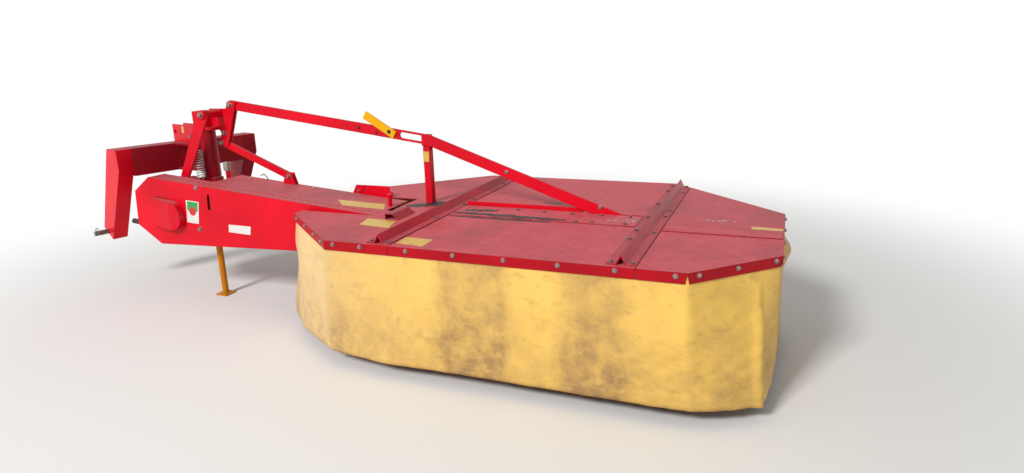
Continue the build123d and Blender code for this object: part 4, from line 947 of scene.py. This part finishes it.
@dataclass
class CoverFittings:
    """Bolts of the rim and the ribs, washers of the brace, blank stickers, old grease and black patches on
    the cover.
    """

    palette: Palette
    rim_z: float = 0.5515
    cover_z: float = 0.566
    flange_out: float = 38 * MM
    grease_steps: int = 26
    band_steps: int = 40
    flakes: int = 46
    strip_flakes: int = 30
    flake_corners: int = 9
    rib_x: Spot = (0.354, 1.327)
    # Side of the rib and where the bolts of its flange sit
    flanges: tuple[tuple[int, tuple[float, ...]], ...] = (
        (-1, (-0.714, -0.412, -0.278, -0.05, 0.22, 0.51, 0.65)),
        (1, (-0.712, -0.30, -0.02, 0.10, 0.50, 0.64)),
    )
    strip_bolts: tuple[Spot, ...] = (
        (1.012, -0.205), (1.079, -0.186), (1.223, -0.190), (0.560, -0.190), (0.805, -0.200),
        (1.092, -0.070), (0.958, -0.078), (0.824, -0.074), (0.690, -0.060), (1.218, -0.060),
    )
    # Rim edges: from x, from y, to x, to y, shares along the edge where its bolts sit
    edges: tuple[tuple[float, float, float, float, tuple[float, ...]], ...] = (
        (-0.330, -0.385, 0.108, -0.750, (0.10, 0.40, 0.70, 0.93)),
        (0.108, -0.750, 1.558, -0.750, (0.031, 0.119, 0.263, 0.403, 0.545, 0.688, 0.830, 0.972)),
        (1.558, -0.750, 1.848, -0.460, (0.11, 0.51, 0.92)),
        (1.848, -0.460, 1.848, 0.180, (0.06, 0.35, 0.65, 0.94)),
        (1.848, 0.180, 1.298, 0.750, (0.05, 0.28, 0.5, 0.72, 0.95)),
        (1.298, 0.750, 0.218, 0.750, (0.03, 0.19, 0.35, 0.5, 0.65, 0.81, 0.97)),
        (0.218, 0.750, -0.330, 0.200, (0.05, 0.28, 0.5, 0.72, 0.95)),
    )

    def rim_bolts(self) -> None:
        """Build the bolts that clamp the cloth to the rim."""
        shape = Shape()
        for from_x, from_y, to_x, to_y, shares in self.edges:
            start, end = Vector((from_x, from_y, self.rim_z)), Vector((to_x, to_y, self.rim_z))
            run = (end - start).normalized()
            outward = Vector((run.y, -run.x, 0.0))
            for share in shares:
                shape.bolt(start.lerp(end, share), outward, RIM_BOLT)
        shape.build("rim_bolts", self.palette.get(Palette.ZINC), Body.CUTTER, Slot.STEEL, 0.5 * MM)

    def rib_bolts(self) -> None:
        """Build the bolts along both flanges of both ribs and along the strip."""
        shape = Shape()
        for x in self.rib_x:
            for side, places in self.flanges:
                for y in places:
                    at = Vector((x + side * self.flange_out, y, self.cover_z + 4 * MM))
                    shape.bolt(at, UP, RIB_BOLT)
        for x, y in self.strip_bolts:
            shape.bolt(Vector((x, y, self.cover_z + 3 * MM)), UP, SMALL_BOLT)
        shape.build("cover_bolts", self.palette.get(Palette.RUSTED), Body.CUTTER, Slot.STEEL, 0.5 * MM)

    def brace_bolts(self) -> None:
        """Build the bolts of the post, its brace and the shield's tab."""
        shape = Shape()
        for x, z in ((0.627, 0.739), (1.075, 0.597)):
            shape.bolt(Vector((x, -0.028, z)), NEAR, RIB_BOLT)
        shape.bolt(Vector((0.203, 0.018, 0.878)), -NEAR, POST_BOLT)
        shape.bolt(Vector((-0.249, 0.046, 0.595)), NEAR, SMALL_BOLT)
        shape.build("brace_bolts", self.palette.get(Palette.ZINC), Body.CUTTER, Slot.STEEL, 0.5 * MM)

    def stickers(self) -> None:
        """Build the blank vinyl stickers on the cover's top and the post."""
        shape = Shape()
        z = self.cover_z + CLEAR
        for corners in (
            ((0.105, -0.487), (0.265, -0.507), (0.234, -0.389), (0.082, -0.381)),
            ((0.421, -0.703), (0.545, -0.716), (0.541, -0.618), (0.415, -0.613)),
            ((1.723, -0.126), (1.842, -0.126), (1.842, -0.088), (1.723, -0.080)),
        ):
            shape.slab([Vector((x, y, z)) for x, y in corners], UP * FILM)
        low, high = 0.772, 0.822
        face = [
            Vector((x, -0.0181, h)) for x, h in ((0.188, low), (0.216, low), (0.216, high), (0.188, high))
        ]
        shape.slab(face, NEAR * FILM)
        shape.build("cover_stickers", self.palette.get(Palette.VINYL), Body.CUTTER, Slot.YELLOW)

    def grease(self) -> None:
        """Build the flat patches of old grease along the strip and the plain black patches round the post's
        foot.
        """
        shape = Shape()
        # from x, from y, to x, to y, half width, seed, height of the sheet under it
        for from_x, from_y, to_x, to_y, half, seed, base in (
            (0.416, -0.176, 0.965, -0.190, 0.028, 1.0, 3.0 * MM),
            (0.416, -0.234, 0.900, -0.232, 0.015, 3.0, 0.0),
            (0.450, -0.125, 0.610, -0.100, 0.026, 5.0, 3.0 * MM),
            # These two lay plain black patches round the post's foot, at the notch's end
            (0.122, -0.110, 0.300, -0.020, 0.046, 9.0, 0.0),
            (0.190, -0.020, 0.300, 0.020, 0.030, 21.0, 0.0),
            (0.760, 0.125, 0.850, 0.128, 0.012, 13.0, 0.0),
        ):
            start, end = Vector((from_x, from_y)), Vector((to_x, to_y))
            run = end - start
            side = Vector((-run.y, run.x)).normalized()
            count = self.grease_steps
            low, high = [], []
            for k in range(count + 1):
                share = k / count
                swell = math.sin(math.pi * (0.02 + 0.96 * share)) ** 0.3
                for row, sign in ((low, -1), (high, 1)):
                    ragged = 0.75 + 0.6 * noise.noise(Vector((share * 9 + seed, sign * 3.0, seed)))
                    spot = start + run * share + side * sign * half * swell * min(1.0, max(0.45, ragged))
                    row.append(Vector((spot.x, spot.y, self.cover_z + base + 0.15 * MM)))
            shape.slab(low + high[::-1], UP * GREASE_THICK)
        shape.build("grease_and_black_patches", self.palette.get(Palette.GREASE), Body.CUTTER, Slot.RUBBER)

    def rubbed_edges(self) -> None:
        """Build bands of bright film along the strips' near edges: a painted highlight on the folded edges.
        """
        shape = Shape()
        # from x, to x, y, half width
        for from_x, to_x, y, half in (
            (0.975, 1.266, -0.2095, 0.0045),
            (1.388, 1.840, -0.2420, 0.0055),
            (1.388, 1.840, -0.1350, 0.003),
        ):
            count = self.band_steps
            low, high = [], []
            for k in range(count + 1):
                x = from_x + (to_x - from_x) * k / count
                band_half = half * (0.75 + 0.25 * noise.noise(Vector((x * 21, y * 30, 4.0))))
                low.append(Vector((x, y - band_half, self.cover_z + 3.1 * MM)))
                high.append(Vector((x, y + band_half, self.cover_z + 3.1 * MM)))
            shape.slab(low + high[::-1], UP * FLAKE)
        shape.build("rubbed_edges", self.palette.get(Palette.RUBBED_RED), Body.CUTTER, Slot.RED)

    def chips(self) -> None:
        """Build the pale flakes where the cover's film has come away."""
        shape = Shape()
        for index in range(self.flakes):
            draw = [noise.noise(Vector((index * 3.7, k * 5.3, 2.2))) for k in range(4)]
            if index < self.strip_flakes:  # on the strip, short of the rib
                at = Vector((min(1.235 + draw[0] * 0.22, 1.262), -0.128 + draw[1] * 0.05, 3.0 * MM))
                limit = 1.268
            else:  # on the cover's right panel
                at = Vector((1.560 + draw[0] * 0.20, -0.020 + draw[1] * 0.05, 0.0))
                limit = math.inf
            reach = 3 * MM + abs(draw[2]) * 9 * MM
            ring = []
            for k in range(self.flake_corners):
                angle, ragged = math.tau * k / self.flake_corners, 0.8 + 0.3 * math.sin(k * 2.3 + index)
                x = at.x + math.cos(angle) * reach * (1.9 + draw[3]) * ragged
                y = at.y + math.sin(angle) * reach * 0.6
                ring.append(Vector((min(x, limit), y, self.cover_z + at.z + CLEAR)))
            shape.slab(ring, UP * FLAKE)
        shape.build("primer_flakes", self.palette.get(Palette.PRIMER), Body.CUTTER, Slot.RED)

    def build(self) -> None:
        """Build all the cover's fittings."""
        self.rim_bolts()
        self.rib_bolts()
        self.brace_bolts()
        self.stickers()
        self.grease()
        self.rubbed_edges()
        self.chips()


@dataclass
class ArmFittings:
    """Bolts, blank labels and small parts on the belt housing, the lid and the mast."""

    palette: Palette
    face_y: float = -0.300
    lid_up: float = 0.094

    def housing_bolts(self) -> None:
        """Build the bolts on the housing's face and on the lid."""
        shape = Shape()
        for x, z in ((-1.016, 0.638), (-1.032, 0.415)):
            shape.bolt(Vector((x, self.face_y, z)), NEAR, HOUSING_BOLT)
        for along in (0.62, 1.04):
            shape.bolt(on_arm(along, self.lid_up, -0.030), UP, LID_BOLT)
        shape.build("arm_bolts", self.palette.get(Palette.ZINC), Body.ARM, Slot.STEEL, 0.5 * MM)

    def labels(self) -> None:
        """Build the housing's blank labels with their plain fields, and the blank sticker on its lid."""
        shape, green, red = Shape(), Shape(), Shape()
        for corners in (
            ((-1.034, 0.443), (-1.013, 0.563), (-1.101, 0.569), (-1.114, 0.448)),
            ((-0.694, 0.408), (-0.686, 0.453), (-0.830, 0.454), (-0.835, 0.413)),
        ):
            shape.slab([Vector((x, self.face_y - CLEAR, z)) for x, z in corners][::-1], NEAR * FILM)
        field_y = self.face_y - 0.5 * MM
        corners = ((-1.030, 0.508), (-1.020, 0.559), (-1.093, 0.564), (-1.099, 0.514))
        green.slab([Vector((x, field_y, z)) for x, z in corners][::-1], NEAR * 0.2 * MM)
        red.lathe(
            Vector((-1.064, field_y - 0.25 * MM, 0.510)),
            NEAR,
            ((23 * MM, 0.0), (23 * MM, 0.2 * MM)),
            sides=28,
        )
        shape.build("housing_labels", self.palette.get(Palette.WHITE_VINYL), Body.ARM, Slot.YELLOW)
        green.build("label_field_green", self.palette.get(Palette.GREEN_VINYL), Body.ARM, Slot.YELLOW)
        red.build("label_field_red", self.palette.get(Palette.RED_VINYL), Body.ARM, Slot.YELLOW)
        sticker = Shape()
        cos, sin = math.cos(ARM_TILT), math.sin(ARM_TILT)
        up = self.lid_up + CLEAR
        spots = ((-0.165, -0.226), (0.046, -0.188), (-0.002, -0.100), (-0.243, -0.151))
        corners = [on_arm((HINGE.x + up * sin - x) / cos, up, y) for x, y in spots]
        sticker.slab(corners, UP * FILM)
        sticker.build("lid_sticker", self.palette.get(Palette.VINYL), Body.ARM, Slot.YELLOW)

    def mast_bolts(self) -> None:
        """Build the pins and bolts of the rocker, the strut and the push foot."""
        shape = Shape()
        for x, z in ((-0.990, 1.040), (-1.053, 0.890), (-1.082, 0.834)):
            for side in (NEAR, -NEAR):
                shape.bolt(Vector((x, 0.0, z)) + side * 15 * MM, side, ROCKER_BOLT)
        shape.bolt(Vector((-1.077, -0.1425, 0.998)), NEAR, STRUT_BOLT)
        shape.bolt(Vector((-0.650, -0.015, 0.662)), NEAR, FOOT_BOLT)
        shape.bolt(Vector((-1.292, -0.132, 0.606)), NEAR, GUARD_BOLT)
        shape.build("mast_bolts", self.palette.get(Palette.ZINC), Body.ARM, Slot.STEEL, 0.6 * MM)

    def boss(self) -> None:
        """Build the welded boss on the strut's head, where the cross tube's bolt sits."""
        shape = Shape()
        rim = ((25 * MM, 0.0), (25 * MM, 8 * MM), (21 * MM, 11 * MM))
        shape.lathe(Vector((-1.077, -0.1315, 0.998)), NEAR, rim, sides=28)
        shape.build("strut_boss", self.palette.get(Palette.RED), Body.ARM, Slot.RED, 1 * MM)

    def clip(self) -> None:
        """Build the bent wire clip on the lid's far edge."""
        shape = Shape()
        bends = ((0.95, 0.094, 0.006), (0.96, 0.104, 0.012), (0.99, 0.116, 0.022), (1.02, 0.104, 0.032))
        shape.tube([on_arm(*bend) for bend in bends], 2.6 * MM, sides=8)
        shape.build("wire_clip", self.palette.get(Palette.IRON), Body.ARM, Slot.IRON)

    def build(self) -> None:
        """Build all the arm's fittings."""
        self.housing_bolts()
        self.labels()
        self.mast_bolts()
        self.boss()
        self.clip()


@dataclass
class ReliefCoil:
    """Close-wound tension spring between the mast's cross tube and the arm beam."""

    palette: Palette
    x: float = -1.190
    y: float = -0.086
    low_z: float = 0.640
    turns: int = 12
    steps: int = 20
    length: float = 0.164
    radius: float = 22 * MM
    wire: float = 3.3 * MM

    def build(self) -> None:
        """Build the coil with its two hooks, in place of the plain solid."""
        low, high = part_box("relief_spring")
        axis = Vector((self.x, self.y, 0.0))
        path = [axis + UP * (low.z + 1 * MM), axis + UP * (self.low_z - 10 * MM)]
        count = self.turns * self.steps
        for k in range(count + 1):
            turn = math.tau * k / self.steps
            # The first and last eight steps wind in to the hooks on the axis
            grow = min(1.0, k / 8, (count - k) / 8)
            reach = self.radius * (0.25 + 0.75 * grow)
            height = self.low_z + self.length * k / count
            path.append(axis + Vector((math.cos(turn) * reach, math.sin(turn) * reach, height)))
        top = axis + UP * (self.low_z + self.length + 12 * MM)
        path += [top, Vector((high.x - 6 * MM, self.y, high.z - 5 * MM))]
        shape = Shape()
        shape.tube(path, self.wire, sides=9)
        coil = shape.build("relief_coil", self.palette.get(Palette.SPRING), Body.ARM, Slot.IRON)
        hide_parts("relief_spring")


@dataclass
class HeadstockFittings:
    """Rings of the lynch pins, bolts and the blank sign of the swinging headstock."""

    palette: Palette
    pin_out: float = -0.505
    pin_z: float = 0.335
    half: float = 0.4125

    def build(self) -> None:
        """Build the headstock's fittings."""
        shape = Shape()
        for side in (-1, 1):
            across = on_portal(0, 1, 0) - on_portal(0, 0, 0)
            face = on_portal(self.pin_out, side * self.half, self.pin_z)
            clip = face + across * side * 60 * MM
            ring = circle(clip + UP * 12 * MM, UP * 19 * MM, across.cross(UP) * 19 * MM, RING_SIDES)
            shape.tube(ring + ring[:1], 2.2 * MM, sides=8)
        for side in (-1, 1):
            across = on_portal(0, side, 0) - on_portal(0, 0, 0)
            shape.bolt(on_portal(-0.120, side * 0.038, 0.860), across, SIGN_BOLT)
        shape.build("headstock_clips", self.palette.get(Palette.ZINC), Body.HEADSTOCK, Slot.STEEL)
        sign = Shape()
        across = on_portal(0, 1, 0) - on_portal(0, 0, 0)
        plate = ((-0.213, 0.878), (-0.189, 0.878), (-0.189, 0.916), (-0.213, 0.916))
        corners = [on_portal(out, -0.0381, z) for out, z in plate]
        sign.slab(corners, across * -FILM)
        sign.build("headstock_sign", self.palette.get(Palette.VINYL), Body.HEADSTOCK, Slot.YELLOW)


@dataclass
class LinkageFittings:
    """Bracket and bolts where the latch lever sits on the lifting bar."""

    palette: Palette

    def build(self) -> None:
        """Build the lever's red bracket, its bolts and the bolt beside it on the bar."""
        bracket = Shape()
        corners = ((-0.092, 0.896), (-0.012, 0.885), (-0.012, 0.892), (-0.060, 0.921), (-0.092, 0.925))
        bracket.slab([Vector((x, -0.0061, z)) for x, z in corners], NEAR * 6 * MM)
        bracket.build("lever_bracket", self.palette.get(Palette.RED), Body.LINKAGE, Slot.RED, 1 * MM)
        shape = Shape()
        shape.bolt(Vector((-0.002, -0.014, 0.914)), NEAR, LEVER_BOLT)
        shape.bolt(Vector((-0.076, -0.0121, 0.908)), NEAR, BRACKET_BOLT)
        shape.bolt(Vector((-0.182, -0.006, 0.931)), NEAR, BAR_BOLT)
        shape.build("lever_bolts", self.palette.get(Palette.IRON), Body.LINKAGE, Slot.IRON, 0.5 * MM)


@dataclass
class StandFittings:
    """Clip pin that holds the parking stand in its sleeve."""

    palette: Palette

    def build(self) -> None:
        """Build the stand's pin and its ring."""
        shape = Shape()
        at = Vector((-1.036, -0.163, 0.372))
        outward = Vector((1.0, 0.0, 0.0))
        shape.lathe(at, outward, ((7 * MM, -1 * MM), (7 * MM, 26 * MM), (5 * MM, 28 * MM)), sides=14)
        ring = circle(at + outward * 18 * MM - UP * 9.6 * MM, -NEAR * 16 * MM, UP * 16 * MM, RING_SIDES)
        shape.tube(ring + ring[:1], 2 * MM, sides=8)
        shape.build("stand_pin", self.palette.get(Palette.ZINC), Body.ARM, Slot.STEEL)


@dataclass
class Studio:
    """Plain pale floor, soft light and the camera at the photograph's viewing angle."""

    focal_px: float = 681.7
    width_px: float = 1024.0
    sensor_mm: float = 36.0
    pitch: float = math.radians(15.52)
    yaw: float = math.radians(22.01)
    roll: float = math.radians(-1.67)
    place: tuple[float, float, float] = (1.820, -2.937, 1.300)
    floor: str = "#ecebe8"
    sky: float = 0.4
    aim: tuple[float, float, float] = (0.2, 0.0, 0.4)
    key_place: tuple[float, float, float] = (-2.4, -10.2, 8.0)
    key_size: float = 2.6
    key_watts: float = 1290.0
    # The floor turns to the backdrop's white between these distances from its middle
    floor_middle: tuple[float, float, float] = (0.4, 0.0, 0.0)
    floor_fades: Spot = (1.9, 4.2)
    floor_reach: float = 60.0

    def camera(self) -> None:
        """Make the camera."""
        data = bpy.data.cameras.new("camera")
        data.sensor_width = self.sensor_mm
        data.sensor_fit = "HORIZONTAL"
        data.lens = self.focal_px * self.sensor_mm / self.width_px
        data.clip_end = 400.0
        obj = bpy.data.objects.new("camera", data)
        forward = Vector(
            (
                -math.sin(self.yaw) * math.cos(self.pitch),
                math.cos(self.yaw) * math.cos(self.pitch),
                -math.sin(self.pitch),
            )
        )
        right = Vector((math.cos(self.yaw), math.sin(self.yaw), 0.0))
        above = right.cross(forward)
        rolled = right * math.cos(self.roll) + above * math.sin(self.roll)
        upright = above * math.cos(self.roll) - right * math.sin(self.roll)
        turned = Matrix((rolled, upright, -forward)).transposed()
        obj.matrix_world = Matrix.Translation(self.place) @ turned.to_4x4()
        bpy.context.scene.collection.objects.link(obj)
        bpy.context.scene.camera = obj

    def lamp(self, name: str, place: tuple[float, float, float], size: float, power: float) -> None:
        """Make a soft square lamp that looks at the machine.

        Args:
            name: The lamp's name.
            place: Where it hangs.
            size: Length of its side.
            power: Its power in watts.
        """
        data = bpy.data.lights.new(name, "AREA")
        data.shape = "SQUARE"
        data.size = size
        data.energy = power
        obj = bpy.data.objects.new(name, data)
        spot = Vector(place)
        look = (Vector(self.aim) - spot).to_track_quat("-Z", "Y")
        obj.matrix_world = Matrix.Translation(spot) @ look.to_matrix().to_4x4()
        bpy.context.scene.collection.objects.link(obj)

    def backdrop_rays(self, tree: Tree) -> bpy.types.Node:
        """Pick the rays that see the backdrop: the camera's own, and those by way of gloss or glass.

        Args:
            tree: The node tree to add to.

        Returns:
            A node whose first output is 1 for such a ray and 0 for the others.
        """
        path = add(tree, "ShaderNodeLightPath")
        rays = path.outputs
        direct = add(
            tree, "ShaderNodeMath", {0: rays["Is Camera Ray"], 1: rays["Is Glossy Ray"]}, operation="MAXIMUM"
        )
        through = {0: direct.outputs[0], 1: rays["Is Transmission Ray"]}
        return add(tree, "ShaderNodeMath", through, operation="MAXIMUM")

    def world(self) -> None:
        """Make a white backdrop for the eye and an even, plainer sky for the light."""
        world = bpy.data.worlds.new("studio")
        world.use_nodes = True
        tree = world.node_tree
        tree.nodes.clear()
        seen = self.backdrop_rays(tree)
        level = add(tree, "ShaderNodeMapRange", {"Value": seen.outputs[0], "To Min": self.sky, "To Max": 1.0})
        sky = add(tree, "ShaderNodeBackground", {"Color": linear("#ffffff"), "Strength": level.outputs[0]})
        add(tree, "ShaderNodeOutputWorld", {"Surface": sky.outputs[0]})
        bpy.context.scene.world = world

    def ground(self) -> None:
        """Make the pale floor, which keeps the machine's shadow and turns to backdrop white far away."""
        floor_material, tree = start_material("painted_plaster_floor")
        plaster = add(tree, "ShaderNodeBsdfPrincipled", {"Base Color": linear(self.floor), "Roughness": 0.9})
        place = add(tree, "ShaderNodeNewGeometry")
        ends = {0: place.outputs["Position"], 1: self.floor_middle}
        away = add(tree, "ShaderNodeVectorMath", ends, operation="DISTANCE").outputs["Value"]
        fade = {"Value": away, "From Min": self.floor_fades[0], "From Max": self.floor_fades[1]}
        away = add(tree, "ShaderNodeMapRange", fade, interpolation_type="SMOOTHSTEP")
        rays = self.backdrop_rays(tree)
        seen = add(tree, "ShaderNodeMath", {0: away.outputs[0], 1: rays.outputs[0]}, operation="MULTIPLY")
        white = add(tree, "ShaderNodeEmission", {"Color": linear("#ffffff"), "Strength": 1.0})
        shader = add(
            tree, "ShaderNodeMixShader", {0: seen.outputs[0], 1: plaster.outputs[0], 2: white.outputs[0]}
        )
        add(tree, "ShaderNodeOutputMaterial", {"Surface": shader.outputs[0]})
        mesh = bpy.data.meshes.new("floor")
        across, along = Vector((self.floor_reach, 0.0, 0.0)), Vector((0.0, self.floor_reach, 0.0))
        rim = circle(Vector(), across, along, sides=64)
        mesh.from_pydata([p[:] for p in rim], [], [tuple(range(len(rim)))])
        mesh.materials.append(floor_material)
        obj = bpy.data.objects.new("floor", mesh)
        bpy.context.scene.collection.objects.link(obj)

    def build(self) -> None:
        """Set the whole studio up."""
        self.camera()
        self.lamp("key", self.key_place, self.key_size, self.key_watts)
        self.world()
        self.ground()
        bpy.context.scene.view_settings.view_transform = "Standard"
        log.info("studio set")


def main() -> None:
    """Load the frame, dress it, add every piece and set the studio."""
    logging.basicConfig(level=logging.INFO, format="%(message)s")
    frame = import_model()
    palette = Palette()
    DressedSolids(palette).dress(frame)
    pieces: Iterable[object] = (
        Skirt(palette, tuple(name for name in frame["nodes"] if name.startswith("apron_"))),
        CoverFittings(palette),
        ArmFittings(palette),
        ReliefCoil(palette),
        HeadstockFittings(palette),
        LinkageFittings(palette),
        StandFittings(palette),
        Studio(),
    )
    for piece in pieces:
        piece.build()


if __name__ == "__main__":
    main()
